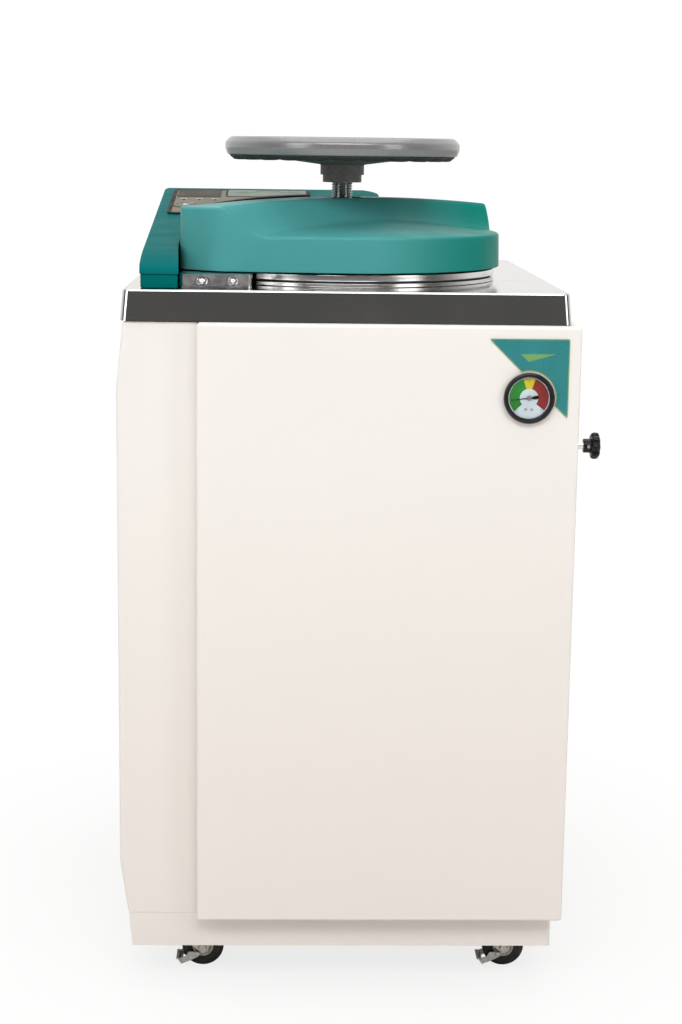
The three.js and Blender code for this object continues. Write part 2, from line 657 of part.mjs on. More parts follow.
function gaugeNeedle() {
  const blade = polygon([[0, -1.6], [9, -1.1], [9, 1.1], [0, 1.6], [-20, 0.3], [-20, -0.3]]);
  return onGauge(join(rod(3.2, 2.4, 4.2, 16), prism(blade, 2.8, 3.6)).rotateZ(GAUGE.rest));
}

// A triangle with a bite concentric with the gauge.
function labelPlate() {
  const { tip, right, foot, top } = LABEL;
  const outline = polygon([[tip, top], [right, foot], [right, top]]);
  const plate = frontPrism(outline, PANEL.front - 1.2, PANEL.front - GAP);
  const bite = alongFront(rod(GAUGE.radius + 2, -5, 5, 40));
  return cut(plate, bite.translate(GAUGE.x, PANEL.front, GAUGE.z));
}

// ---------- exhaust valve ----------
const onValve = (g) => alongX(g).translate(0, VALVE.y, VALVE.z);

function valveCollar() {
  const x = PANEL.x1 - SIDE.inset + GAP;
  return onValve(turned([[5, x], [11, x], [9.5, x + 2.7], [6.5, x + 6.7], [5, x + 6.7]], 20));
}

const valveStem = () => onValve(rod(VALVE.stem, 240.5, VALVE.hubX + 4));

// A hub with a lobed grip.
function valveKnob() {
  const { knob, stem, hub: hubRadius, hubX, gripX, endX } = VALVE;
  const lobes = 8;
  const steps = lobes * 4;
  const grip = new THREE.Shape();
  for (let i = 0; i < steps; i++) {
    const a = (i / steps) * Math.PI * 2;
    const r = knob - 1 + Math.cos(a * lobes);
    grip[i ? "lineTo" : "moveTo"](r * Math.cos(a), r * Math.sin(a));
  }
  const hub = rod(hubRadius, hubX, gripX + 1);
  const cap = turned([[0, endX - 2], [knob - 4, endX - 2], [knob - 5, endX], [0, endX]]);
  const body = join(hub, prism(grip, gripX, endX - 1), cap);
  return onValve(cut(body, rod(stem + GAP, hubX - 9, hubX + 5)));
}

function valveBody() {
  const { y, z } = VALVE;
  return join(onValve(rod(15, 205, 240)), box(205, 232, y - 14, y + 14, z - 30, z));
}

// ---------- plumbing and electrics ----------
function exhaustBottle() {
  const { x, y, radius: r, wall, neck, mouth, z0, z1 } = BOTTLE;
  const inside = r - wall;
  return turned(
    [
      [0, z0], [r, z0], [r, z1 - 25], [neck, z1], [neck, z1 + 12], [mouth, z1 + 12], [mouth, z1],
      [inside, z1 - 27], [inside, z0 + 3], [0, z0 + 3],
    ],
    20,
  ).translate(x, y, 0);
}

// From under the valve body, along the front of the cabinet and down into the bottle.
function exhaustPipe() {
  const { x, y, z1 } = BOTTLE;
  const z = VALVE.z - 60;
  const points = [
    [218, VALVE.y, VALVE.z - 31], [218, VALVE.y, z], [205, VALVE.y - 6, z - 20], [0, VALVE.y - 15, z - 24],
    [x + 12, y - 10, z - 28], [x, y, z - 45], [x, y, z1 + 20], [x, y, z1 - 60],
  ];
  return bentTube(points, 4.5, 34);
}

function solenoidValve() {
  const { x, y, z } = SOLENOID;
  return join(rod(16, z - 1, z + 49, 20).translate(x, y, 0), box(x - 20, x + 20, y - 20, y + 20, z - 31, z));
}

function safetyValve() {
  const { x, y, z } = SAFETY;
  const body = [[0, z - 50], [9, z - 50], [9, z - 20], [15, z - 18], [15, z + 8], [8, z + 18]];
  const stem = [[3, z + 20], [3, z + 30], [0, z + 30]];
  return turned([...body, ...stem], 14).translate(x, y, 0);
}

function safetyLever() {
  const { x, y, z } = SAFETY;
  return box(x - 5, x + 45, y - 4, y + 4, z + 32, z + 35);
}

// From the vessel's floor to the rear panel.
function drainPipe() {
  const { x, z } = DRAIN;
  const back = PLINTH.halfDepth - 8;
  const points = [
    [LID.x, LID.y, VESSEL.floor - 27], [LID.x, LID.y, z + 15], [LID.x + 10, LID.y + 20, z], [60, 60, z],
    [x, 150, z], [x, back, z],
  ];
  return bentTube(points, 7, 20, 4);
}

// Laid out along +Z and turned to point out of the rear panel: tail, hexagon, spout and upright stem.
function drainValve() {
  const stem = rod(5, 0, 20, 16).rotateX(Math.PI / 2).translate(0, 0, 14);
  const body = join(rod(9, -6, 7, 20), rod(13, 6, 22, 6), rod(8, 21, 34, 20), stem);
  return body.rotateX(-Math.PI / 2).translate(DRAIN.x, PLINTH.halfDepth, DRAIN.z);
}

function drainLever() {
  const y = PLINTH.halfDepth + 14;
  const z = DRAIN.z + 21.5;
  return join(
    rod(8, z, z + 5, 20).translate(DRAIN.x, y, 0),
    box(DRAIN.x, DRAIN.x + 55, y - 5.5, y + 5.5, z + 1, z + 4.5),
  );
}

// A sheath with a head, pointing at the vessel's rear wall.
function temperatureProbe() {
  const y = LID.y + VESSEL.inner + VESSEL.wall + PROBE.out;
  return turned([[0, -12], [3, -12], [3, 40], [9, 40], [9, 52], [0, 52]], 16)
    .rotateX(-Math.PI / 2)
    .translate(LID.x + PROBE.x, y, PROBE.z);
}

function cordGland() {
  return turned([[4, -10], [9, -10], [9, GAP], [14, GAP], [14, 8], [10, 10], [9, 24], [4, 24]], 14)
    .rotateX(-Math.PI / 2)
    .translate(GLAND.x, PLINTH.halfDepth, GLAND.z);
}

function breakerBody() {
  const { x, z, halfWidth: w, halfHeight: h } = BREAKER;
  const y = PLINTH.halfDepth;
  const flange = box(x - w - 4, x + w + 4, y + GAP, y + 3, z - h - 4, z + h + 4);
  const body = box(x - w, x + w, y - 40, y + 1, z - h, z + h);
  return cut(join(flange, body), box(x - 9, x + 9, y - 12, y + 10, z - 18, z + 18));
}

function breakerRocker() {
  const { x, z } = BREAKER;
  const y = PLINTH.halfDepth;
  const face = [[y + 2, z - 13.5], [y + 3, z], [y + 5, z + 13.5]];
  return sidePrism(polygon([[y - 8, z - 13], ...face, [y - 4, z + 13]]), x - 8.4, x + 8.4);
}

// ---------- casters ----------
// Half the distance between the insides of the fork's cheeks.
const FORK = CASTER.width / 2 + CASTER.side;

// Pressed cheeks on a crown, the swivel head above and the axle through both.
function casterFork() {
  const { radius, trail, cheek: thick, top } = CASTER;
  const cheekOutline = new THREE.Shape();
  cheekOutline.moveTo(-15, 57);
  cheekOutline.lineTo(-12, 46);
  cheekOutline.lineTo(trail - 8, radius - 2);
  cheekOutline.absarc(trail, radius, 8, Math.PI * 1.15, Math.PI * 2.1);
  cheekOutline.lineTo(18, 57);
  const cheek = (y) => frontPrism(cheekOutline, y, y + thick, 3);
  const crown = box(-15, 18, -FORK - thick, FORK + thick, 54, 57);
  const head = turned([[0, 56], [17, 56], [20, 60], [20, 64], [14, top], [0, top]], 12);
  const axle = rod(3, -FORK - 4, FORK + 4, 8).rotateX(Math.PI / 2).translate(trail, 0, radius);
  return join(cheek(-FORK - thick), cheek(FORK), crown, head, axle);
}

// Hub, dished web and rounded tyre.
function casterWheel() {
  const { radius: r, width, trail } = CASTER;
  const h = width / 2;
  const lower = [[3.5, -h], [8, -h], [11, -h + 3], [16, -h + 0.5], [r - 2, -h + 0.5], [r, -h + 3]];
  const upper = lower.map(([radius, z]) => [radius, -z]).reverse();
  return turned([...lower, ...upper], 20).rotateX(Math.PI / 2).translate(trail, 0, r);
}

// Pedal: two arms outside the fork's cheeks, turning about a pin below the axle, joined by a tab that
// stands clear of the tread.
function brakeLever() {
  const inside = FORK + CASTER.cheek + GAP;
  const outside = inside + 1.5;
  const toe = [[4.8, 9.3], [-6, 4.9], [-9.9, 11.3], [-0.6, 14.5]];
  const arm = polygon([[15.5, 20.5], [15, 14.5], ...toe, [3, 20.5]]);
  const tab = polygon([[-4.8, 5.4], [-6, 4.6], [-10.6, 11], [-12.6, 10.8], [-12.4, 12.2], [-9.4, 12.5]]);
  return join(
    frontPrism(arm, -outside, -inside),
    frontPrism(arm, inside, outside),
    frontPrism(tab, -outside, outside),
  );
}

// ---------- assembly ----------
add("plinth", plinth(), white);
add("left_side_cover", leftSideCover(), white);
add("front_panel", frontPanel(), white);
add("right_side_panel", rightSidePanel(), white);
add("rear_panel", rearPanel(), white);
add("top_plate", topPlate(), steel);
add("pressure_vessel", pressureVessel(), steel, chamber);
add("vessel_flange", vesselFlange(), steel, chamber);
add("insulation_jacket", insulationJacket(), wool, chamber);
add("heater_element", heaterElement(), steel, chamber);
add("heater_guard", heaterGuard(), steel, chamber);
add("basket", basket(), steel, chamber);
add("basket_bail", basketBail(), steel, chamber);
add("hinge_post", hingePost(), steel, lidGroup);
add("lid_crossbar", lidCrossbar(), castGrey, lidGroup);
add("bridge_nut", bridgeNut(), brass, lidGroup);
add("lid_cover", lidCover(), teal, lidGroup);
add("lid_plate", lidPlate(), steel, lidGroup);
add("lid_gasket", lidGasket(), rubber, lidGroup);
add("spindle", spindle(), chrome, lidGroup);
add("handwheel", handwheel(), castGrey, lidGroup);
add("latch_block", latchBlock(), chrome);
add("console_base", consoleBase(), darkTeal);
add("console_shell", consoleShell(), teal);
add("console_bezel", consoleBezel(), brown);
add("console_display", glassPane(LCD), grey);
add("diagram_window", glassPane(DIAGRAM), paleGrey);
add("start_key", startKey(), grey);
add("control_board", controlBoard(), green);
add("gauge_case", gaugeCase(), black);
add("gauge_dial", gaugeDial(), paleGrey);
add("gauge_needle", gaugeNeedle(), black);
add("gauge_lens", gaugeLens(), clear);
add("label_plate", labelPlate(), teal);
add("valve_collar", valveCollar(), chrome);
add("valve_stem", valveStem(), chrome);
add("valve_knob", valveKnob(), black);
add("valve_body", valveBody(), brass);
add("exhaust_bottle", exhaustBottle(), clear);
add("exhaust_pipe", exhaustPipe(), steel);
add("solenoid_valve", solenoidValve(), brass);
add("safety_valve", safetyValve(), brass);
add("safety_lever", safetyLever(), steel);
add("drain_pipe", drainPipe(), steel);
add("drain_valve", drainValve(), brass);
add("drain_lever", drainLever(), black);
add("temperature_probe", temperatureProbe(), steel);
add("cord_gland", cordGland(), black);
add("breaker_body", breakerBody(), black);
add("breaker_rocker", breakerRocker(), rubber);
for (const [end, sy] of [["front", -1], ["rear", 1]]) {
  for (const [side, sx] of [["left", -1], ["right", 1]]) {
    const caster = new THREE.Group();
    caster.position.set(sx * CASTER.x, sy * CASTER.y, 0);
    frame.add(caster);
    add(`caster_fork_${end}_${side}`, casterFork(), zinc, caster);
    add(`caster_wheel_${end}_${side}`, casterWheel(), rubber, caster);
    if (end === "front") add(`brake_lever_${side}`, brakeLever(), zinc, caster);
  }
}

// The origin is on the floor, under the middle of the whole object's box.
const extent = new THREE.Box3().setFromObject(root, true);
const middle = extent.getCenter(new THREE.Vector3());
frame.position.set(-middle.x, -middle.y, 0);

export default root;
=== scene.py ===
import math

import bmesh
import bpy
from mathutils import Matrix, Vector

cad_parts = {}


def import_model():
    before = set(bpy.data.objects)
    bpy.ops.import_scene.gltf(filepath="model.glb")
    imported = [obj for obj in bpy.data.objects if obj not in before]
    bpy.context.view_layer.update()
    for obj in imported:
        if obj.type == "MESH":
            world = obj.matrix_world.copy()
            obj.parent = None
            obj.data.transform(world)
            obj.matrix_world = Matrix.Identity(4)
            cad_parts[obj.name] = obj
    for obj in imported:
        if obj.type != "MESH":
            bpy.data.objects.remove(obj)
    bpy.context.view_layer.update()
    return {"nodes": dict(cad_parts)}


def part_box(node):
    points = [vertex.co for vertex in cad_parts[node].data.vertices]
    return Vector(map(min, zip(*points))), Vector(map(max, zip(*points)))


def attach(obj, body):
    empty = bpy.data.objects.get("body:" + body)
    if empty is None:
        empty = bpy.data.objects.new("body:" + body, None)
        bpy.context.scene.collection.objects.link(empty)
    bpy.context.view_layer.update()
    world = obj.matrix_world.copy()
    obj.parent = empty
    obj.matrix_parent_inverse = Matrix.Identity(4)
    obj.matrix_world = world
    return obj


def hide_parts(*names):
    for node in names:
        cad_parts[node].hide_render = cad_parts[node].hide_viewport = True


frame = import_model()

# Looks of a floor-standing, top-loading autoclave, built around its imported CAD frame.
# Metres, +Z up, -Y is the front. Places come from the frame, and mm turns millimetres into metres.
mm = 0.001


def centre(node):
    lo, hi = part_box(node)
    return (lo + hi) / 2


FRONT_LO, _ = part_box("front_panel")
SPINDLE = centre("spindle")
PIVOT = centre("hinge_post")
LID = Vector((SPINDLE.x, SPINDLE.y, 0))
ARM = math.atan2(PIVOT.y - LID.y, PIVOT.x - LID.x)
LID_FRAME = Matrix.Translation(LID) @ Matrix.Rotation(ARM, 4, "Z")
CHAMBER = Matrix.Translation(LID)
# Cutters reach this far past both sides of what they cut.
THROUGH = 20 * mm


# ---------------------------------------------------------------- mesh tools
def rounded(points, closed=False, steps=5):
    """Outline points (x, y) or (x, y, radius); a corner with a radius becomes a smooth curve."""
    out = []
    count = len(points)
    for i, point in enumerate(points):
        radius = point[2] if len(point) > 2 else 0
        if not radius or (not closed and i in (0, count - 1)):
            out.append((point[0], point[1]))
            continue
        corner = Vector(point[:2])
        before = Vector(points[i - 1][:2]) - corner
        after = Vector(points[(i + 1) % count][:2]) - corner
        half = before.angle(after) / 2
        run = min(radius / max(math.tan(half), 1e-3), before.length * 0.49, after.length * 0.49)
        start = corner + before.normalized() * run
        end = corner + after.normalized() * run
        for k in range(steps + 1):
            u = k / steps
            p = start * (1 - u) ** 2 + corner * 2 * u * (1 - u) + end * u**2
            out.append((p.x, p.y))
    return out


def arc(cx, cy, radius, start, end, steps):
    """Points on a circle from one angle to another, in degrees."""
    angles = [math.radians(start + (end - start) * i / steps) for i in range(steps + 1)]
    return [(cx + radius * math.cos(a), cy + radius * math.sin(a)) for a in angles]


def skin(rings, wrap=False, cap_first=False, cap_last=False):
    """A mesh over a stack of equal rings; a ring of one point closes the stack to a tip."""
    bm = bmesh.new()
    made = [[bm.verts.new(p) for p in ring] for ring in rings]
    pairs = list(zip(made, made[1:]))
    if wrap:
        pairs.append((made[-1], made[0]))
    for low, high in pairs:
        count = max(len(low), len(high))
        for i in range(count):
            j = (i + 1) % count
            corners = [low[i % len(low)], low[j % len(low)], high[j % len(high)], high[i % len(high)]]
            unique = list(dict.fromkeys(corners))
            if len(unique) > 2:
                bm.faces.new(unique)
    if cap_first:
        bm.faces.new(list(reversed(made[0])))
    if cap_last:
        bm.faces.new(made[-1])
    bmesh.ops.recalc_face_normals(bm, faces=bm.faces)
    return bm


def lathe(profile, segments=96, steps=4):
    """Turns a profile of (radius, height[, corner radius]) about +Z, ending on the axis or closed."""
    closed = profile[0][0] > 0
    points = rounded(profile, closed, steps)
    angles = [2 * math.pi * i / segments for i in range(segments)]
    rings = []
    for r, z in points:
        if r < 1e-9:
            rings.append([(0, 0, z)])
        else:
            rings.append([(r * math.cos(a), r * math.sin(a), z) for a in angles])
    return skin(rings, wrap=closed)


def prism(outline, z0, z1):
    """A plan outline of (x, y) points raised from z0 to z1."""
    return skin([[(x, y, z) for x, y in outline] for z in (z0, z1)], cap_first=True, cap_last=True)


def round_plate(radius, z0, z1, segments=96, corner=0, bore=0):
    """A turned disc, or a ring when it has a bore, with rounded outer corners."""
    return lathe([(bore, z0), (radius, z0, corner), (radius, z1, corner), (bore, z1)], segments)


def block(x0, x1, y0, y1, z0, z1):
    return prism([(x0, y0), (x1, y0), (x1, y1), (x0, y1)], z0, z1)


def tube(points, radius, sides=14, closed=False):
    """A round bar along a list of points, square-ended."""
    path = [Vector(p) for p in points]
    rings = []
    side = None
    for i, p in enumerate(path):
        a = path[i - 1] if i or closed else p
        b = path[(i + 1) % len(path)] if i + 1 < len(path) or closed else p
        along = (b - a).normalized()
        if side is None:
            side = along.orthogonal().normalized()
        side = (side - along * side.dot(along)).normalized()
        up = along.cross(side)
        angles = [2 * math.pi * k / sides for k in range(sides)]
        rings.append([p + side * radius * math.cos(t) + up * radius * math.sin(t) for t in angles])
    return skin(rings, wrap=closed, cap_first=not closed, cap_last=not closed)


def smooth_path(points, steps=10):
    """A Catmull-Rom curve through the points."""
    path = [Vector(p) for p in points]
    ends = [path[0] * 2 - path[1]] + path + [path[-1] * 2 - path[-2]]
    out = []
    for i in range(1, len(ends) - 2):
        a, b, c, d = ends[i - 1 : i + 3]
        for k in range(steps):
            u = k / steps
            bend = (a * 2 - b * 5 + c * 4 - d) * u**2
            twist = (b * 3 - a - c * 3 + d) * u**3
            out.append((b * 2 + (c - a) * u + bend + twist) / 2)
    return out + [path[-1]]


def new_object(name, data):
    obj = bpy.data.objects.new(name, data)
    bpy.context.scene.collection.objects.link(obj)
    return obj


def moved(bm, matrix):
    bmesh.ops.transform(bm, matrix=matrix, verts=bm.verts)
    if matrix.determinant() < 0:
        bmesh.ops.reverse_faces(bm, faces=bm.faces)
    return bm


def at(x, y, z=0):
    return Matrix.Translation((x, y, z))


def upright(x, y, z):
    """Stands a shape drawn on the floor up at a place, with its +Z end towards the front."""
    return at(x, y, z) @ Matrix.Rotation(math.pi / 2, 4, "X")


def merged(*parts):
    """Several meshes as one, without joining their surfaces."""
    whole = bmesh.new()
    for part in parts:
        mesh = bpy.data.meshes.new("part")
        part.to_mesh(mesh)
        part.free()
        whole.from_mesh(mesh)
        bpy.data.meshes.remove(mesh)
    return whole


def boolean(bm, other, operation):
    """The union, difference or intersection of two closed meshes."""
    objects = []
    for source in (bm, other):
        mesh = bpy.data.meshes.new("operand")
        source.to_mesh(mesh)
        source.free()
        objects.append(new_object("operand", mesh))
    modifier = objects[0].modifiers.new("boolean", "BOOLEAN")
    modifier.operation = operation
    modifier.solver = "EXACT"
    modifier.object = objects[1]
    evaluated = objects[0].evaluated_get(bpy.context.evaluated_depsgraph_get())
    result = bmesh.new()
    result.from_mesh(evaluated.to_mesh())
    for o in objects:
        mesh = o.data
        bpy.data.objects.remove(o)
        bpy.data.meshes.remove(mesh)
    return result


def cut(bm, *cutters):
    for cutter in cutters:
        bm = boolean(bm, cutter, "DIFFERENCE")
    return bm


def join(bm, *others):
    for other in others:
        bm = boolean(bm, other, "UNION")
    return bm


def bevelled(bm, width, segments=3, sharper_than=30, only=None):
    """Rounds the edges sharper than an angle; only(edge) can narrow the choice."""
    limit = math.radians(sharper_than)
    edges = [e for e in bm.edges if len(e.link_faces) == 2 and e.calc_face_angle(0) > limit]
    if only:
        edges = [e for e in edges if only(e)]
    bmesh.ops.bevel(
        bm, geom=edges, offset=width, segments=segments, profile=0.5, affect="EDGES",
        clamp_overlap=True,
    )
    return bm


def from_node(node, flat=1.0):
    """A CAD node's mesh with its triangles merged back into whole faces."""
    bm = bmesh.new()
    bm.from_mesh(frame["nodes"][node].data)
    bmesh.ops.remove_doubles(bm, verts=bm.verts, dist=2e-6)
    bmesh.ops.dissolve_limit(
        bm, angle_limit=math.radians(flat), verts=bm.verts, edges=bm.edges,
        use_dissolve_boundaries=False,
    )
    return bm


def piece(name, bm, material, replaces=(), matrix=None, sharp=32, body="cabinet"):
    """Makes the named object from a mesh, shades it, and rides it on its CAD body."""
    if matrix is not None:
        moved(bm, matrix)
    limit = math.radians(sharp)
    for face in bm.faces:
        face.smooth = True
    for edge in bm.edges:
        edge.smooth = len(edge.link_faces) == 2 and edge.calc_face_angle(0) < limit
    mesh = bpy.data.meshes.new(name)
    bm.to_mesh(mesh)
    bm.free()
    mesh.materials.append(material)
    obj = new_object(name, mesh)
    weighted = obj.modifiers.new("weighted_normals", "WEIGHTED_NORMAL")
    weighted.keep_sharp = True
    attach(obj, body)
    if replaces:
        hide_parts(*replaces)
    return obj


def dressed(node, material):
    """Gives a CAD node that keeps its own shape a better material."""
    materials = frame["nodes"][node].data.materials
    materials.clear()
    materials.append(material)


# ---------------------------------------------------------------- material tools
class Shader:
    """A short way to write a node material: node() makes a node and links or sets its inputs."""

    def __init__(self, name):
        self.material = bpy.data.materials.new(name)
        self.material.use_nodes = True
        self.tree = self.material.node_tree
        self.tree.nodes.clear()
        self.output = self.tree.nodes.new("ShaderNodeOutputMaterial")
        self.place = self.node("ShaderNodeTexCoord").outputs["Object"]

    def node(self, kind, settings=None, **inputs):
        made = self.tree.nodes.new(kind)
        for key, value in (settings or {}).items():
            setattr(made, key, value)
        for key, value in inputs.items():
            by_index = key[0] == "i" and key[1:].isdigit()
            socket = made.inputs[int(key[1:]) if by_index else key.replace("_", " ")]
            if isinstance(value, bpy.types.NodeSocket):
                self.tree.links.new(value, socket)
            else:
                socket.default_value = value
        return made

    def stretched(self, scale):
        return self.node("ShaderNodeMapping", Vector=self.place, Scale=scale).outputs[0]

    def noise(self, scale, detail=2.0, roughness=0.5, at=None):
        at = at or self.place
        return self.node(
            "ShaderNodeTexNoise", Vector=at, Scale=scale, Detail=detail, Roughness=roughness,
        ).outputs[0]

    def spread(self, value, low, high, from_low=0.3, from_high=0.7):
        """Maps a noise value onto the range low to high."""
        return self.node(
            "ShaderNodeMapRange", {"clamp": True}, i0=value, i1=from_low, i2=from_high, i3=low, i4=high,
        ).outputs[0]

    def mix(self, factor, a, b):
        made = self.node("ShaderNodeMix", {"data_type": "RGBA"})
        for index, value in ((0, factor), (6, a), (7, b)):
            if isinstance(value, bpy.types.NodeSocket):
                self.tree.links.new(value, made.inputs[index])
            elif index:
                made.inputs[index].default_value = (*value[:3], 1)
            else:
                made.inputs[index].default_value = value
        return made.outputs[2]

    def bump(self, height, strength, distance, under=None):
        inputs = {"Height": height, "Strength": strength, "Distance": distance}
        if under is not None:
            inputs["Normal"] = under
        return self.node("ShaderNodeBump", **inputs).outputs[0]

    def grime(self, colour, shade_colour, reach=0.02, amount=0.35):
        """Darkens a colour in its corners and crevices from ambient occlusion: painted shade."""
        open_sky = self.node("ShaderNodeAmbientOcclusion", {"samples": 4}, Distance=reach).outputs["AO"]
        return self.mix(self.spread(open_sky, amount, 0.0, 0.25, 0.85), colour, shade_colour)

    def worn_edges(self, radius=1.2 * mm, low=0.02, high=0.10):
        """1 along convex edges, 0 on open faces."""
        soft = self.node("ShaderNodeBevel", {"samples": 4}, Radius=radius).outputs[0]
        hard = self.node("ShaderNodeNewGeometry").outputs["Normal"]
        dot = self.node(
            "ShaderNodeVectorMath", {"operation": "DOT_PRODUCT"}, i0=soft, i1=hard,
        ).outputs["Value"]
        return self.spread(dot, 1.0, 0.0, 1 - high, 1 - low)

    def surface(self, **inputs):
        made = self.node("ShaderNodeBsdfPrincipled", **inputs)
        self.tree.links.new(made.outputs[0], self.output.inputs[0])
        self.material.diffuse_color = (0.6, 0.6, 0.6, 1)
        return self.material


def srgb(*channels):
    """Linear colour from 0-255 display values."""
    return tuple(
        ((c / 255 + 0.055) / 1.055) ** 2.4 if c > 10 else c / 255 / 12.92 for c in channels
    ) + (1.0,)


def scaled(colour, factor):
    return tuple(c * factor for c in colour[:3])


def powder_coat(name, colour):
    s = Shader(name)
    tint = s.mix(s.spread(s.noise(2.3, 3), 0, 0.5), colour, scaled(colour, 0.955))
    # Painted shade: darker and warmer towards the bottom, standing in for the light falling off lower
    # down.
    height = s.node("ShaderNodeSeparateXYZ", Vector=s.place).outputs[2]
    low = tuple(c * f for c, f in zip(colour[:3], (0.96, 0.93, 0.915)))
    painted_bottom_shade = s.mix(s.spread(height, 1, 0, 0.26, 0.66), tint, low)
    # Painted shade in corners and crevices, from ambient occlusion.
    base = s.grime(painted_bottom_shade, tuple(c * f for c, f in zip(colour[:3], (0.62, 0.57, 0.52))), 0.006, 0.35)
    peel = s.bump(s.noise(700, 2), 0.06, 0.4 * mm)
    ripple = s.bump(s.noise(9, 2), 0.05, 4 * mm, peel)
    rough = s.spread(s.noise(14, 4), 0.36, 0.5)
    return s.surface(
        Base_Color=base, Roughness=rough, Normal=ripple, Coat_Weight=0.12, Coat_Roughness=0.25,
    )


def steel(name, shade=0.72, rough=0.14, grain=(1, 140, 1), streak=0.05, warm=0.99):
    """Stainless sheet: fine brushing along one axis, faint smudges."""
    s = Shader(name)
    lines = s.noise(6.0, 4, 0.7, s.stretched(grain))
    smudge = s.noise(11, 5, 0.6)
    base = s.mix(s.spread(lines, 0, 1), (shade, shade * warm, shade * warm * 0.985), (shade * 0.9,) * 3)
    streaks = s.spread(lines, rough * 0.75, rough * 1.35)
    smudges = s.spread(smudge, 0.0, rough * 0.6, 0.5, 0.75)
    total = s.node("ShaderNodeMath", {"operation": "ADD"}, i0=streaks, i1=smudges).outputs[0]
    relief = s.bump(lines, streak, 0.25 * mm)
    return s.surface(Base_Color=base, Metallic=1.0, Roughness=total, Normal=relief)


def chromed(name, shade=0.86, rough=0.05):
    s = Shader(name)
    smudge = s.spread(s.noise(45, 4), rough * 0.6, rough * 2.2)
    wave = s.bump(s.noise(60, 1), 0.08, 1 * mm)
    return s.surface(
        Base_Color=(shade, shade, shade * 1.01, 1), Metallic=1.0, Roughness=smudge, Normal=wave,
    )


def zinc_plate(name, shade=0.6, metal=0.85):
    s = Shader(name)
    cells = s.node(
        "ShaderNodeTexVoronoi", {"feature": "F1"}, Vector=s.place, Scale=260.0,
    ).outputs["Color"]
    bright = s.spread(cells, 0, 1, 0.1, 0.9)
    base = s.mix(bright, (shade, shade, shade * 0.97), (shade * 0.8, shade * 0.8, shade * 0.76))
    # Painted shade in corners and crevices, from ambient occlusion.
    dust_and_shade = s.grime(base, (0.12, 0.11, 0.1), 0.004, 0.6)
    relief = s.bump(s.noise(500, 3), 0.12, 0.2 * mm)
    return s.surface(
        Base_Color=dust_and_shade, Metallic=metal, Roughness=s.spread(bright, 0.3, 0.42, 0, 1), Normal=relief,
    )


def moulded(name, left, right, rough=0.33, grain=0.05, gloss=0.5, span=(-0.15, 0.15)):
    """Moulded plastic whose colour drifts from its left colour, a painted sheen of the lights on that
    side, to its right colour across the object.
    """
    s = Shader(name)
    x = s.node("ShaderNodeSeparateXYZ", Vector=s.place).outputs[0]
    # Painted sheen: the lit left colour fades to the right colour across span.
    painted_sheen_across = s.spread(x, 0.0, 1.0, *span)
    tone = s.mix(painted_sheen_across, left, right)
    deeper = s.mix(painted_sheen_across, scaled(left, 0.8), scaled(right, 0.8))
    cloud = s.mix(s.spread(s.noise(7, 3), 0, 0.35), tone, deeper)
    # Painted shade in corners and crevices, from ambient occlusion.
    base = s.grime(cloud, scaled(left, 0.35), 0.012, 0.45)
    leather = s.bump(s.noise(1400, 2), grain, 0.25 * mm)
    sink = s.bump(s.noise(16, 1), 0.04, 3 * mm, leather)
    roughness = s.spread(s.noise(25, 4), rough * 0.82, rough * 1.25)
    return s.surface(Base_Color=base, Roughness=roughness, Normal=sink, Specular_IOR_Level=gloss)


def hammered(name, shade, rough=0.3, cell=420.0, metal=0.5, dent=0.35, coat=0.0):
    """Hammer-finish enamel over a casting."""
    s = Shader(name)
    swirl = s.node("ShaderNodeTexNoise", Vector=s.place, Scale=160.0).outputs["Color"]
    warped = s.node("ShaderNodeMix", {"data_type": "VECTOR"}, i0=0.004, i4=s.place, i5=swirl).outputs[1]
    dents = s.node(
        "ShaderNodeTexVoronoi", {"feature": "SMOOTH_F1"}, Vector=warped, Scale=cell,
    ).outputs["Distance"]
    fleck = s.noise(1500, 2)
    base = s.mix(s.spread(fleck, 0, 1), scaled(shade, 1.15), scaled(shade, 0.85))
    dark = s.mix(s.spread(dents, 0.0, dent * 1.5, 0.2, 0.7), base, scaled(shade, 0.5))
    edge = s.mix(s.spread(s.worn_edges(), 0, 0.4, 0.3, 1), dark, (0.45, 0.45, 0.46))
    relief = s.bump(dents, dent, 0.35 * mm)
    return s.surface(
        Base_Color=edge, Metallic=metal, Roughness=s.spread(fleck, rough * 0.8, rough * 1.3),
        Normal=relief, Coat_Weight=coat, Coat_Roughness=0.2,
    )


def plastic(name, colour, rough=0.4, grain=900.0, strength=0.08, gloss=0.5):
    s = Shader(name)
    base = s.mix(s.spread(s.noise(30, 3), 0, 0.5), colour, scaled(colour, 0.7))
    pale = tuple(min(1, c * 1.6 + 0.03) for c in colour[:3])
    dust_and_shade = s.mix(s.spread(s.worn_edges(0.6 * mm), 0, 0.25, 0.3, 1), base, pale)
    relief = s.bump(s.noise(grain, 2), strength, 0.2 * mm)
    rubbed = s.spread(s.noise(60, 3), rough * 0.85, rough * 1.2)
    return s.surface(Base_Color=dust_and_shade, Roughness=rubbed, Normal=relief, Specular_IOR_Level=gloss)


def rubbery(name, colour, rough=0.75):
    s = Shader(name)
    dust = s.noise(55, 5, 0.65)
    base = s.mix(s.spread(dust, 0, 0.5, 0.45, 0.8), colour, tuple(c + 0.05 for c in colour[:3]))
    relief = s.bump(s.noise(800, 3), 0.2, 0.3 * mm)
    return s.surface(
        Base_Color=base, Roughness=s.spread(dust, rough * 0.85, rough * 1.1), Normal=relief,
    )


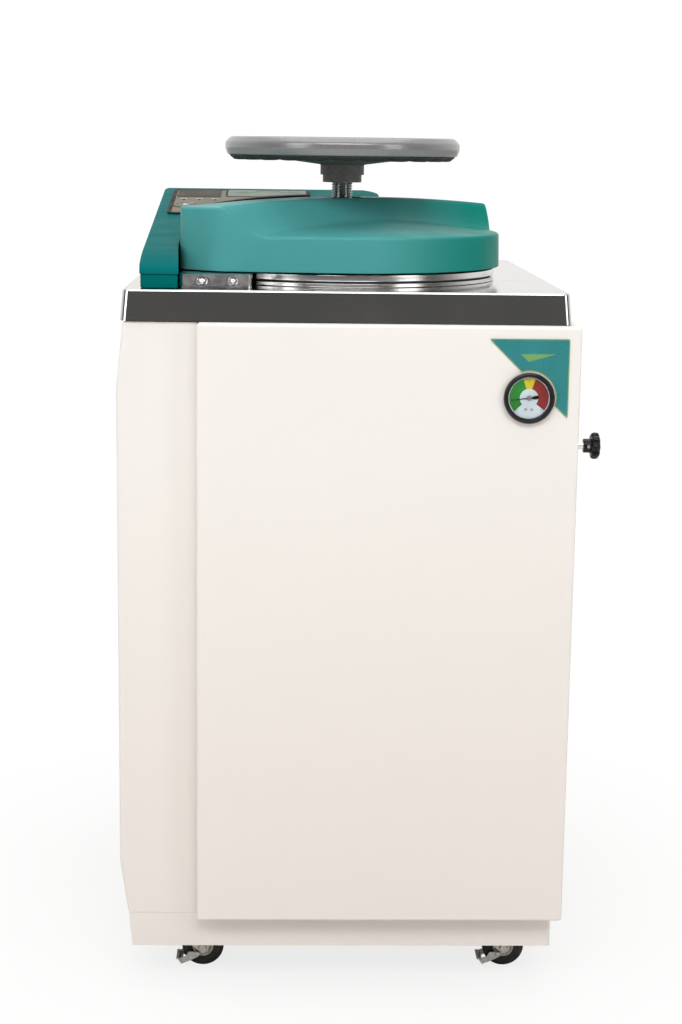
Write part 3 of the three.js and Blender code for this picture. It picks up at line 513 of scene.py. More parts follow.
def brassy(name, colour=(0.62, 0.44, 0.18)):
    s = Shader(name)
    stain = s.noise(35, 5, 0.65)
    base = s.mix(s.spread(stain, 0, 0.7, 0.4, 0.75), colour, (0.28, 0.17, 0.07))
    relief = s.bump(s.noise(300, 3), 0.15, 0.2 * mm)
    return s.surface(
        Base_Color=base, Metallic=1.0, Roughness=s.spread(stain, 0.22, 0.45), Normal=relief,
    )


def glassy(name, tint=(0.985, 0.995, 1.0, 1), rough=0.005):
    s = Shader(name)
    haze = s.spread(s.noise(40, 4), rough, rough * 3, 0.5, 0.8)
    return s.surface(Base_Color=tint, Roughness=haze, Transmission_Weight=1.0, IOR=1.04)


def woolly(name, colour=(0.62, 0.57, 0.46)):
    s = Shader(name)
    strand = s.noise(14, 6, 0.7, s.stretched((1, 1, 9)))
    base = s.mix(s.spread(strand, 0, 1), colour, scaled(colour, 0.6))
    return s.surface(Base_Color=base, Roughness=0.95, Normal=s.bump(strand, 0.8, 3 * mm))


WHITE = powder_coat("powder_coat_white", srgb(242, 239, 235))
TOP_STEEL = steel("polished_steel", 0.69, 0.10, (140, 1, 1), 0.02)
RING_STEEL = steel("turned_steel", 0.80, 0.16, (1, 1, 320), 0.04)
VESSEL_STEEL = steel("vessel_steel", 0.62, 0.26, (1, 1, 60), 0.05)
CHROME = chromed("chrome")
BRIGHT_CASTING = chromed("bright_casting", 0.82, 0.12)
SCREW_CHROME = chromed("screw_thread_steel", 0.48, 0.1)
ZINC = zinc_plate("zinc_plate", 0.66)
# The left colours of both teals are painted sheen: the lighter, bluer look where the left softboxes
# light and reflect on them.
COVER_TEAL = moulded(
    "cover_teal", srgb(78, 158, 158), srgb(0, 132, 120), 0.34, gloss=0.05, span=(0.02, 0.15),
)
CONSOLE_TEAL = moulded("console_teal", srgb(4, 106, 106), srgb(0, 104, 96), 0.38, gloss=0.01)
LABEL_TEAL = plastic("label_teal", srgb(46, 138, 142), 0.3, 1500, 0.02)
LABEL_EDGE = plastic("label_edge_green", srgb(122, 170, 104), 0.35, 1500, 0.02)
CAST_GREY = hammered("hammered_grey", (0.25, 0.252, 0.256), 0.24, 620.0, 0.3, 0.08, 0.3)
# The grips' dark colour is partly their own darker finish and partly painted shade under the rim.
CAST_DARK = hammered("hammered_dark", (0.046, 0.034, 0.028), 0.6, 300.0, 0.0)
HUB_GREY = hammered("hub_grey", (0.24, 0.20, 0.19), 0.5, 500.0, 0.1)
BLACK = plastic("black_plastic", (0.004, 0.004, 0.004, 1), 0.28, gloss=0.3)
GLOSS_BLACK = plastic("gauge_black_enamel", (0.008, 0.008, 0.008, 1), 0.18, 400, 0.03)
RUBBER = rubbery("tyre_rubber", (0.014, 0.013, 0.012, 1), 0.6)
SEAL = rubbery("seal_silicone", (0.03, 0.03, 0.032, 1), 0.6)
BRASS = brassy("brass")
GLASS = glassy("clear_glass")
BOTTLE = glassy("bottle_plastic", (0.85, 0.92, 0.95, 1), 0.08)
BEZEL_BROWN = plastic("bezel_brown", srgb(58, 42, 40), 0.4, 1500, 0.03, 0.02)
FILM_GREY = plastic("keypad_grey", srgb(132, 128, 116), 0.45, 1800, 0.05, 0.02)
FILM_PALE = plastic("diagram_pale", srgb(140, 153, 144), 0.45, 1800, 0.03, 0.02)
LCD_OLIVE = plastic("display_olive", srgb(60, 56, 45), 0.3, 1500, 0.02, 0.02)
CASTER_CREAM = plastic("caster_cream", srgb(208, 200, 184), 0.45, 900, 0.06)
INK_DARK = plastic("ink_dark", srgb(70, 68, 64), 0.5, 1500, 0.02)
INK_WHITE = plastic("ink_white", srgb(236, 238, 234), 0.5, 1500, 0.02)
DIAL_PALE = plastic("dial_pale_blue", srgb(228, 242, 250), 0.45, 1500, 0.02)
DIAL_GREEN = plastic("dial_green", srgb(48, 146, 52), 0.45, 1500, 0.02)
DIAL_YELLOW = plastic("dial_yellow", srgb(226, 208, 48), 0.45, 1500, 0.02)
DIAL_RED = plastic("dial_red", srgb(150, 44, 36), 0.45, 1500, 0.02)
DIAL_INK = plastic("dial_ink_blue", srgb(40, 70, 104), 0.5, 1500, 0.02)
BOARD_GREEN = plastic("board_green", (0.02, 0.12, 0.045, 1), 0.35)
WOOL = woolly("mineral_wool")


# ---------------------------------------------------------------- cabinet
def cabinet():
    left_cover()
    front_panel()
    for name, node, width, steps in (
        ("plinth_shell", "plinth", 1.0, 3), ("right_panel", "right_side_panel", 0.6, 3),
        ("rear_sheet", "rear_panel", 0.5, 2),
    ):
        sheet = bevelled(from_node(node), width * mm, steps)
        piece(name, sheet, WHITE, [node])
    top_plate()


def front_panel():
    lo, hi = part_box("front_panel")
    sheet = 2 * mm
    outline = rounded([
        (lo.x, lo.z, 4 * mm), (hi.x, lo.z, 4 * mm), (hi.x, hi.z, 4 * mm), (lo.x, hi.z, 4 * mm),
    ], True)
    to_front = upright(0, hi.y, 0)
    pan = moved(prism(outline, 0, hi.y - lo.y), to_front)
    bevelled(pan, 3.2 * mm, 5, 40, lambda e: all(v.co.y < lo.y + 1e-5 for v in e.verts))
    inside = block(lo.x + sheet, hi.x - sheet, lo.y + sheet, hi.y + sheet, lo.z + sheet, hi.z - sheet)
    gauge = centre("gauge_case")
    hole = round_plate(25 * mm, -THROUGH, THROUGH, 64)
    moved(hole, upright(gauge.x, lo.y, gauge.z))
    piece("front_door_panel", cut(pan, inside, hole), WHITE, ["front_panel"])


def left_cover():
    lo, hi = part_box("left_side_cover")
    sheet = 1.5 * mm
    bend_top, bend_foot = 721 * mm, 155 * mm
    top_in, foot_in = 8 * mm, 9.5 * mm
    bend = 30 * mm

    def outline(e, right):
        return rounded([
            (right, lo.z + e), (lo.x + foot_in + e, lo.z + e), (lo.x + e, bend_foot, bend),
            (lo.x + e, bend_top, bend), (lo.x + top_in + e, hi.z - e), (right, hi.z - e),
        ], True)

    def body(e, right, y0, y1):
        turn = upright(0, y1, 0)
        return moved(prism(outline(e, right), 0, y1 - y0), turn)

    outer = body(0, hi.x, lo.y, hi.y)
    bevelled(outer, 3 * mm, 4, 40, lambda e: all(v.co.x < hi.x - 1e-5 for v in e.verts))
    inner = body(sheet, hi.x + 5 * mm, lo.y + sheet, hi.y - sheet)
    piece("left_column_cover", cut(outer, inner), WHITE, ["left_side_cover"])


def top_plate():
    lo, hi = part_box("top_plate")
    draft, sheet = 3 * mm, 2 * mm
    corner = 10 * mm

    def rim(inset, grow):
        x0, x1 = lo.x + draft + inset - grow, hi.x - draft - inset + grow
        y0, y1 = lo.y + draft + inset - grow, hi.y - draft - inset + grow
        return rounded([
            (x0, y0, corner), (x1, y0, corner), (x1, y1, corner), (x0, y1, corner),
        ], True, 8)

    def sleeve(inset, top, bottom):
        upper = [(x, y, top) for x, y in rim(inset, 0)]
        lower = [(x, y, bottom) for x, y in rim(inset, draft)]
        return skin([lower, upper], cap_first=True, cap_last=True)

    outer = sleeve(0, hi.z, lo.z)
    bevelled(outer, 2.4 * mm, 5, 40, lambda e: all(v.co.z > hi.z - 1e-5 for v in e.verts))
    inner = sleeve(sheet, hi.z - sheet, lo.z - 5 * mm)
    mouth = moved(round_plate(155 * mm, 800 * mm, 900 * mm), CHAMBER)
    piece("top_plate_sheet", cut(outer, inner, mouth), TOP_STEEL, ["top_plate"])


# ---------------------------------------------------------------- pressure vessel
def vessel():
    lo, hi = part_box("pressure_vessel")
    r, wall = 150 * mm, 3 * mm
    floor = 215 * mm
    shell = lathe([
        (0, lo.z), (r * 0.6, lo.z + 8 * mm, 60 * mm), (r * 0.95, floor - wall, 30 * mm),
        (r + wall, floor + 18 * mm, 20 * mm), (r + wall, hi.z), (r, hi.z),
        (r, floor + 20 * mm, 20 * mm), (r * 0.93, floor + 3 * mm, 30 * mm),
        (r * 0.58, floor - 12 * mm, 50 * mm), (0, floor - 19 * mm),
    ], 128)
    piece("chamber_vessel", shell, VESSEL_STEEL, ["pressure_vessel"], CHAMBER)
    lo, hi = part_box("vessel_flange")
    edge = 1 * mm
    outer = (hi.x - lo.x) / 2
    groove = lo.z + 2.4 * mm
    ring = lathe([
        (r + 1 * mm, lo.z), (outer, lo.z, edge), (outer, groove, 0.3 * mm),
        (outer - 2 * mm, groove + 0.1 * mm), (outer - 2 * mm, groove + 0.8 * mm),
        (outer, groove + 0.9 * mm, 0.3 * mm), (outer, hi.z, 0.6 * mm), (r + 1 * mm, hi.z, edge),
    ], 160)
    piece("chamber_flange", ring, RING_STEEL, ["vessel_flange"], CHAMBER)
    heater()
    guard()
    basket()
    bail()
    lo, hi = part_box("insulation_jacket")
    inner = r + wall + 3 * mm
    jacket = round_plate(inner + 18 * mm, lo.z, hi.z, 96, 6 * mm, inner)
    piece("insulation_blanket", jacket, WOOL, ["insulation_jacket"], CHAMBER)


def heater():
    _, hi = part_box("heater_element")
    radius = 105 * mm
    z = hi.z - 5 * mm
    points = [(radius, 12 * mm, z - 14 * mm)]
    for i in range(41):
        a = math.radians(8 + 344 * i / 40)
        points.append((radius * math.cos(a), radius * math.sin(a), z))
    points.append((radius, -12 * mm, z - 14 * mm))
    loop = tube(smooth_path(points, 3), 4.8 * mm, 12)
    piece("tubular_heater", loop, VESSEL_STEEL, ["heater_element"], CHAMBER)


def guard():
    lo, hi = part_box("heater_guard")
    outer = (hi.x - lo.x) / 2 - 0.2 * mm
    plate = round_plate(outer, lo.z, hi.z, 96, 0.8 * mm, 15 * mm)
    for i in range(6):
        a = i * math.pi / 3
        hole = round_plate(12 * mm, lo.z - 0.01, hi.z + 0.01, 32)
        plate = cut(plate, moved(hole, at(85 * mm * math.cos(a), 85 * mm * math.sin(a), 0)))
    piece("heater_guard_plate", plate, VESSEL_STEEL, ["heater_guard"], CHAMBER)


def perforated_wall(radius, z0, z1, columns, rows, hole):
    """A rolled sheet with a round hole in each cell; the sheet thickness is added by solidify."""
    bm = bmesh.new()
    sides = 8
    cell_angle = 2 * math.pi / columns
    cell_height = (z1 - z0) / rows
    half = radius * cell_angle / 2
    for column in range(columns):
        for row in range(rows):
            mid_angle = (column + 0.5) * cell_angle
            mid_z = z0 + (row + 0.5) * cell_height
            inner, outer = [], []
            for k in range(sides):
                t = 2 * math.pi * k / sides
                c, s = math.cos(t), math.sin(t)
                reach = 1 / max(abs(c), abs(s))
                for ring, across, up in (
                    (inner, hole * c, hole * s),
                    (outer, half * c * reach, cell_height / 2 * s * reach),
                ):
                    a = mid_angle + across / radius
                    ring.append(bm.verts.new((radius * math.cos(a), radius * math.sin(a), mid_z + up)))
            for k in range(sides):
                j = (k + 1) % sides
                bm.faces.new([outer[k], outer[j], inner[j], inner[k]])
    bmesh.ops.remove_doubles(bm, verts=bm.verts, dist=1e-6)
    return bm


def basket():
    lo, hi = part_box("basket")
    radius = 136.5 * mm
    rim = 690 * mm
    wall = perforated_wall(radius, lo.z + 12 * mm, rim - 12 * mm, 56, 26, 4.2 * mm)
    bmesh.ops.recalc_face_normals(wall, faces=wall.faces)
    bmesh.ops.solidify(wall, geom=wall.faces[:], thickness=0.9 * mm)
    piece("basket_mesh_wall", wall, VESSEL_STEEL, ["basket"], CHAMBER)
    band = 1.2 * mm
    hoop = lambda z0, z1: lathe([
        (radius - band, z0), (radius + band, z0, 0.5 * mm), (radius + band, z1, 0.5 * mm),
        (radius - band, z1, 0.5 * mm),
    ], 96)
    roll = [
        (radius + 3 * mm * math.cos(t / 6 * math.pi), rim - 3 * mm + 3 * mm * math.sin(t / 6 * math.pi))
        for t in range(12)
    ]
    base = lathe([(0, lo.z), (radius, lo.z, 3 * mm), (radius, lo.z + 2 * mm), (0, lo.z + 2 * mm)], 96)
    ears = []
    for side in (-1, 1):
        x = side * (radius - 2.2 * mm)
        ears.append(bevelled(block(
            x - 1 * mm, x + 1 * mm, -7 * mm, 7 * mm, rim - 30 * mm, hi.z,
        ), 0.8 * mm, 3))
    trim = merged(
        hoop(lo.z, lo.z + 13 * mm), hoop(rim - 13 * mm, rim - 1 * mm), lathe(roll, 96), base, *ears,
    )
    piece("basket_rim_and_base", trim, RING_STEEL, ["basket"], CHAMBER)


def bail():
    lo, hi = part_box("basket_bail")
    reach = 130 * mm
    points = [(-reach - 2.8 * mm, 0, 0)]
    points += [(x, y, 0) for x, y in arc(0, 0, reach, 180, 360, 48)]
    points.append((reach + 2.8 * mm, 0, 0))
    wire = moved(tube(points, 2.4 * mm, 12), at(0, 0, (lo.z + hi.z) / 2))
    piece(
        "basket_handle_wire", wire, RING_STEEL, ["basket_bail"], CHAMBER,
        body="basket_handle",
    )


# ---------------------------------------------------------------- lid
COVER_RADIUS = 196 * mm
COVER_END = 240 * mm
COVER_FLANK = math.radians(43)
COVER_HOLE = 25 * mm
NOSE_END, NOSE_TURN = 234.75 * mm, math.radians(5.9)
NOSE_LEFT, NOSE_FRONT = 192.5 * mm, 195 * mm
NOSE_BROW, NOSE_RUN = 188 * mm, 40 * mm
DECK_CROWN, DECK_FALL, DECK_HALF = 931.8 * mm, 10 * mm, 28 * mm
DISH_RIM, DISH_RISE, DISH_WALL = 890.5 * mm, 20 * mm, 36 * mm


def soft_min(a, b, k):
    h = max(k - abs(a - b), 0) / k
    return min(a, b) - h * h * k / 4


def smoothstep(x):
    x = min(1, max(0, x))
    return x * x * (3 - 2 * x)


def cover_radius(angle):
    """Distance from the lid centre to the cover's edge, at an angle from the arm."""
    c = math.cos(angle)
    from_arm = math.acos(min(1, abs(c)))
    nose_reach = NOSE_LEFT if math.sin(angle) > 0 else NOSE_FRONT
    flank_at = (nose_reach if c < 0 else COVER_RADIUS) / math.cos(COVER_FLANK - from_arm)
    if from_arm >= COVER_FLANK:
        return min(COVER_RADIUS, flank_at)
    end_at = -NOSE_END / math.cos(angle - NOSE_TURN) if c < 0 else COVER_END / c
    return soft_min(flank_at, end_at, 14 * mm)


def cover_height(s, t):
    """Height of the cover's top: a crowned deck along the arm and a dished scoop on each side."""
    r = math.hypot(s, t)
    deck = DECK_CROWN - DECK_FALL * (r / COVER_END) ** 2
    dish = DISH_RIM + DISH_RISE * (1 - r / COVER_RADIUS)
    beyond = abs(t) - DECK_HALF
    eased = (math.hypot(beyond, 2.0 * mm) + beyond) / 2
    scoop = 1 - (1 - min(1, eased / DISH_WALL)) ** 2.2
    along = min(1, max(0, (-s - NOSE_BROW) / NOSE_RUN))
    return deck - (deck - dish) * scoop * (1 - along**2) ** 1.3


def lid_cover():
    lo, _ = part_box("lid_cover")
    count = 384
    wall, edge, draft = 2.2 * mm, 3.4 * mm, 0.8 * mm
    angles = [2 * math.pi * i / count for i in range(count)]
    reach = [cover_radius(a) for a in angles]

    def ring(radii, height):
        points = []
        for a, r in zip(angles, radii):
            s, t = r * math.cos(a), r * math.sin(a)
            points.append((s, t, height(s, t)))
        return points

    rings = []
    hole_edge = 1.5 * mm
    for i in range(4):
        u = i / 3 * math.pi / 2
        radius = COVER_HOLE + hole_edge - hole_edge * math.cos(u)
        drop = hole_edge * (1 - math.sin(u))
        rings.append(ring([radius] * count, lambda s, t, d=drop: cover_height(s, t) - d))
    steps = 84
    for i in range(1, steps + 1):
        k = i / steps
        start = COVER_HOLE + hole_edge
        rings.append(ring([start + k * (r - edge - draft - start) for r in reach], cover_height))
    for i in range(1, 7):
        u = i / 6 * math.pi / 2
        out, drop = edge * math.sin(u), edge * (1 - math.cos(u))
        radii = [r - edge - draft + out for r in reach]
        rings.append(ring(radii, lambda s, t, d=drop: cover_height(s, t) - d))
    rings.append(ring(reach, lambda s, t: lo.z + 0.6 * mm))
    rings.append(ring([r - 0.5 * mm for r in reach], lambda s, t: lo.z))
    rings.append(ring([r - wall for r in reach], lambda s, t: lo.z))
    inner_steps = 24
    for i in range(inner_steps + 1):
        k = 1 - i / inner_steps
        radii = [COVER_HOLE + k * (r - wall - 1 * mm - COVER_HOLE) for r in reach]
        rings.append(ring(radii, lambda s, t: cover_height(s, t) - wall - 1.5 * mm))
    shell = skin(rings, wrap=True)
    piece(
        "lid_cover_shell", shell, COVER_TEAL, ["lid_cover"], LID_FRAME, 50,
        body="lid_arm",
    )


def lid_inside():
    bar = bevelled(from_node("lid_crossbar"), 0.8 * mm, 2, 50)
    piece("lid_crossbar_casting", bar, CAST_DARK, ["lid_crossbar"], body="lid_arm")
    lo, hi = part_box("bridge_nut")
    nut = lathe([
        (13.3 * mm, lo.z, 0.5 * mm), (19.6 * mm, lo.z, 1 * mm), (19.6 * mm, hi.z, 1 * mm),
        (13.3 * mm, hi.z, 0.5 * mm),
    ], 64)
    piece("spindle_nut", nut, BRASS, ["bridge_nut"], CHAMBER, body="lid_arm")
    lo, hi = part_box("lid_plate")
    radius, top = 189.8 * mm, 848 * mm
    bore = 9 * mm
    plate = lathe([
        (0, lo.z + 2 * mm), (140 * mm, lo.z + 2 * mm, 2 * mm), (143 * mm, lo.z, 1 * mm),
        (radius, lo.z, 1.2 * mm), (radius, top, 1.6 * mm), (40 * mm, top, 6 * mm),
        (22 * mm, top + 6 * mm, 4 * mm), (22 * mm, hi.z, 1 * mm), (bore, hi.z, 0.6 * mm),
        (bore, 850 * mm), (0, 850 * mm),
    ], 160)
    piece(
        "lid_pressure_plate", plate, RING_STEEL, ["lid_plate"], CHAMBER,
        body="lid_closure",
    )
    lo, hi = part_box("lid_gasket")
    seal = round_plate(186 * mm, lo.z, hi.z, 160, 0.8 * mm, 160 * mm)
    piece("lid_seal", seal, SEAL, ["lid_gasket"], CHAMBER, body="lid_closure")


def threaded_rod(radius, depth, pitch, z0, z1, sides=48, per_turn=8):
    """A right-hand screw thread with rounded crests."""
    count = int((z1 - z0) / pitch * per_turn)
    rings = []
    for i in range(count + 1):
        z = z0 + (z1 - z0) * i / count
        ring = []
        for k in range(sides):
            a = 2 * math.pi * k / sides
            phase = (z / pitch - a / (2 * math.pi)) % 1
            wave = 0.5 + 0.5 * math.cos(2 * math.pi * phase)
            r = radius - depth * (1 - smoothstep(wave * 1.3 - 0.15))
            ring.append((r * math.cos(a), r * math.sin(a), z))
        rings.append(ring)
    return skin(rings, cap_first=True, cap_last=True)


def closing_screw():
    lo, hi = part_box("spindle")
    nose, shoulder, pitch = 8.6 * mm, 866 * mm, 3 * mm
    tip = lathe([
        (0, lo.z), (nose, lo.z, 1.5 * mm), (nose, shoulder + 1 * mm), (0, shoulder + 1 * mm),
    ], 48)
    thread = threaded_rod(13 * mm, 1.5 * mm, pitch, shoulder, hi.z)
    piece(
        "spindle_thread", merged(tip, thread), SCREW_CHROME, ["spindle"], CHAMBER, 60,
        body="closing_screw",
    )
    handwheel()


def handwheel():
    lo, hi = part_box("handwheel")
    outer = (hi.x - lo.x) / 2
    top, under = hi.z, 982 * mm
    bore = 13.4 * mm
    rim = lathe([
        (outer - 26 * mm, under, 1 * mm), (outer - 3 * mm, under, 2.5 * mm),
        (outer, under + 8 * mm, 6 * mm), (outer, top - 7 * mm, 7 * mm), (outer - 7 * mm, top, 8 * mm),
        (outer - 20 * mm, top, 9 * mm), (outer - 33 * mm, top - 9 * mm, 7 * mm),
        (outer - 40 * mm, top - 12 * mm, 8 * mm), (42 * mm, top - 16 * mm, 8 * mm),
        (30 * mm, top - 10 * mm, 3 * mm), (22 * mm, top - 9 * mm, 2 * mm), (0, top - 9 * mm),
        (0, 985 * mm), (outer - 30 * mm, 986 * mm),
    ], 192, 6)
    piece(
        "handwheel_rim", rim, CAST_GREY, ["handwheel"], CHAMBER, 60, body="closing_screw",
    )
    grips = 24
    segments = grips * 12
    rings = []
    for i in range(segments):
        a = 2 * math.pi * i / segments
        swell = abs(math.cos(a * grips / 2)) ** 0.6
        depth = 3.6 * mm + 2.4 * mm * swell
        out = outer - 7.0 * mm + 1.8 * mm * swell
        low = under - depth
        section = rounded([
            (112 * mm, under + 1 * mm), (112 * mm, low + 2.5 * mm, 2 * mm), (120 * mm, low, 4 * mm),
            (out - 6 * mm, low, 3.5 * mm), (out, under - 1 * mm, 1 * mm),
            (out - 2 * mm, under + 1 * mm),
        ], True)
        rings.append([(r * math.cos(a), r * math.sin(a), z) for r, z in section])
    piece(
        "handwheel_finger_grips", skin(rings, wrap=True), CAST_DARK, ["handwheel"],
        CHAMBER, 60, body="closing_screw",
    )
    web = lathe([
        (bore, 968 * mm), (bore, lo.z), (24 * mm, lo.z, 0.8 * mm), (24 * mm, 958.7 * mm, 0.6 * mm),
        (27 * mm, 958.7 * mm, 0.8 * mm), (27 * mm, 971 * mm, 1.5 * mm), (66 * mm, 976 * mm, 12 * mm),
        (113 * mm, 981.5 * mm), (113 * mm, 986 * mm), (bore, 986 * mm),
    ], 128)
    piece(
        "handwheel_web_and_hub", web, HUB_GREY, ["handwheel"], CHAMBER,
        body="closing_screw",
    )


# ---------------------------------------------------------------- latch and hinge
def arched_pocket(x, half, z0, z1, y0, depth):
    """A cutter with an arched top, sunk into the front of the latch."""
    crown = [
        (x + half * math.cos(t), z1 - half * 0.6 * (1 - math.sin(t)))
        for t in [math.pi * k / 12 for k in range(13)]
    ]
    outline = [(x + half, z0)] + crown + [(x - half, z0)]
    to_front = upright(0, y0 + depth, 0)
    return moved(prism(outline, 0, depth + 5 * mm), to_front)


def latch():
    lo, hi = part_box("latch_block")
    filler = block(
        lo.x + 8 * mm, lo.x + 72 * mm, lo.y + 0.02 * mm, lo.y + 8.5 * mm, lo.z + 1 * mm, hi.z - 1 * mm,
    )
    body = join(from_node("latch_block"), filler)
    pockets = ((25.8 * mm, 10.4 * mm), (61.0 * mm, 9.4 * mm))
    cutters = [
        arched_pocket(lo.x + x, half, lo.z + 1.8 * mm, hi.z - 2.2 * mm, lo.y, 9 * mm)
        for x, half in pockets
    ]
    for x, deep in ((5.4, 2.5), (13.6, 2.5), (43.0, 1.2), (73.5, 3.0)):
        x = lo.x + x * mm
        cutters.append(block(
            x - 0.7 * mm, x + 0.7 * mm, lo.y - 1 * mm, lo.y + deep * mm, lo.z - 1 * mm, hi.z + 1 * mm,
        ))
    body = bevelled(cut(body, *cutters), 0.6 * mm, 2, 50)
    piece("latch_casting", body, BRIGHT_CASTING, ["latch_block"])
    bosses = []
    for x, half in pockets:
        dome = lathe(
            [(0, 0), (1, 0)] + [(math.cos(t), math.sin(t)) for t in (0.3, 0.6, 0.9, 1.2)] + [(0, 1)],
            40,
        )
        size = Matrix.Diagonal((half * 0.62, 4.6 * mm, 6.5 * mm, 1))
        seat = at(lo.x + x, lo.y + 8.6 * mm, (lo.z + hi.z) / 2 - 0.4 * mm)
        bosses.append(moved(dome, seat @ Matrix.Rotation(math.radians(70), 4, "X") @ size))
    piece("latch_pin_heads", merged(*bosses), CHROME)


def latch_and_post():
    latch()
    lo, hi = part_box("hinge_post")
    post = lathe([
        (0, lo.z), (17 * mm, lo.z, 0.8 * mm), (17 * mm, lo.z + 16 * mm, 1 * mm),
        (12 * mm, lo.z + 18.7 * mm, 2 * mm), (12 * mm, hi.z - 2 * mm, 1.5 * mm), (0, hi.z),
    ], 64)
    piece("lid_hinge_post", post, CHROME, ["hinge_post"], at(PIVOT.x, PIVOT.y, 0))


# ---------------------------------------------------------------- console
CONSOLE_LO, CONSOLE_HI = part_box("console_shell")
SLOPE = 0.1436
TIP = math.atan(SLOPE)
SLOPE_START = LID.y - 141 * mm
SLOPE_HEIGHT = 876 * mm


def console_top(y):
    return SLOPE_HEIGHT + (y - SLOPE_START) * SLOPE


def console_plan(e):
    """Plan outline drawn in by e: it wraps round the lid on its left and rear."""
    left, right = CONSOLE_LO.x + e, CONSOLE_HI.x - e
    front, back = CONSOLE_LO.y + e, CONSOLE_HI.y - e
    radius = 200 * mm + e
    nose = SHIFT.x - 190.3 * mm - e
    wall = SHIFT.x - 195.4 * mm - e
    corner = 45 * mm - e
    meet = 360 - math.degrees(math.acos((wall - LID.x) / radius))
    tangent = ARM + COVER_FLANK
    leave_y = LID.y + (radius - (right - LID.x) * math.cos(tangent)) / math.sin(tangent)
    points = [(left, front, 8 * mm), (nose, front, 2 * mm), (wall, SHIFT.y - 216 * mm, 9 * mm)]
    points += arc(LID.x, LID.y, radius, meet, math.degrees(tangent), 40)
    points.append((right, leave_y, 2 * mm))
    points += arc(right - corner, back - corner, corner, 0, 90, 14)
    points.append((left, back, 24 * mm))
    return rounded(points, True)


def console_side(e, z0):
    """Side outline above the seam: rounded nose, sloping top, rounded heel."""
    front, back = CONSOLE_LO.y + e, CONSOLE_HI.y - e
    a, b = Vector((front, z0)), Vector((front + 1 * mm, 862 * mm - e))
    c, d = Vector((front + 43 * mm, 870 * mm - e)), Vector((SLOPE_START, SLOPE_HEIGHT - e))
    points = []
    for i in range(21):
        u = i / 20
        p = a * (1 - u) ** 3 + b * 3 * u * (1 - u) ** 2 + c * 3 * u * u * (1 - u) + d * u**3
        points.append((p.x, p.y))
    heel = back + e
    points.append((heel - 8 * mm, console_top(heel - 8 * mm) - e))
    start = points[-1]
    mid = (back, console_top(heel) - 0.5 * mm - e)
    end = (back, console_top(heel) - 8 * mm - e)
    for i in range(1, 9):
        u = i / 8
        points.append(tuple(
            start[k] * (1 - u) ** 2 + mid[k] * 2 * u * (1 - u) + end[k] * u * u for k in (0, 1)
        ))
    points.append((back, z0))
    return points


def console_block(e, z0):
    above = 960 * mm
    along_x = Matrix(((0, 0, 1, 0), (1, 0, 0, 0), (0, 1, 0, 0), (0, 0, 0, 1)))
    side = moved(prism(console_side(e, z0), CONSOLE_LO.x - 5 * mm, CONSOLE_HI.x + 5 * mm), along_x)
    return boolean(prism(console_plan(e), z0, above), side, "INTERSECT")


def on_panel(bm):
    """Tips a flat piece, drawn in plan about the keypad's front edge, onto the sloping panel."""
    y0 = KEYPAD[2]
    tilt = at(0, y0, console_top(y0)) @ Matrix.Rotation(TIP, 4, "X")
    return moved(bm, tilt @ at(0, -y0, 0))


# SHIFT is the middle of the cabinet's plan, from which the console and the camera are placed.
SHIFT = Vector((LID.x + 0.6 * mm, LID.y + 75 * mm, 0))
KEYPAD = (SHIFT.x - 221.5 * mm, SHIFT.x - 38 * mm, SHIFT.y - 12 * mm, SHIFT.y + 167 * mm)
DISPLAY = (SHIFT.x - 215 * mm, SHIFT.x - 157 * mm, SHIFT.y + 108 * mm, SHIFT.y + 161 * mm)
DIAGRAM = (SHIFT.x - 148 * mm, SHIFT.x - 43 * mm, SHIFT.y + 115 * mm, SHIFT.y + 163 * mm)


def keypad_outline(e, radius):
    """The keypad's rectangle, bitten away by an arc concentric with the lid."""
    x0, x1, y0, y1 = KEYPAD[0] + e, KEYPAD[1] - e, KEYPAD[2] + e, KEYPAD[3] - e
    bite = 208 * mm + e
    start = 180 - math.degrees(math.asin((y0 - LID.y) / bite))
    end = math.degrees(math.acos((x1 - LID.x) / bite))
    points = [(x0, y0, radius)]
    points += [
        (*p, 4 * mm) if i in (0, 30) else p
        for i, p in enumerate(arc(LID.x, LID.y, bite, start, end, 30))
    ]
    points += [(x1, y1, radius), (x0, y1, radius)]
    return rounded(points, True)


def rect(window, e, radius):
    x0, x1, y0, y1 = window
    x0, x1, y0, y1 = x0 + e, x1 - e, y0 + e, y1 - e
    return rounded([(x0, y0, radius), (x1, y0, radius), (x1, y1, radius), (x0, y1, radius)], True)


def console():
    seam = CONSOLE_LO.z
    shell = console_block(0, seam)
    bevelled(shell, 5 * mm, 6, 38, lambda e: all(v.co.z > seam + 2 * mm for v in e.verts))
    opening = on_panel(prism(keypad_outline(3 * mm, 6 * mm), -THROUGH, THROUGH))
    shell = cut(shell, console_block(3 * mm, seam - 5 * mm), opening)
    piece("console_housing", shell, CONSOLE_TEAL, ["console_shell"], sharp=25)
    lo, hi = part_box("console_base")
    base = prism(console_plan(1 * mm), lo.z, hi.z)
    bevelled(base, 1.2 * mm, 3, 60)
    base = cut(base, prism(console_plan(4 * mm), lo.z - 0.01, hi.z + 0.01))
    piece("console_plinth", base, CONSOLE_TEAL, ["console_base"], sharp=25)
    keypad()


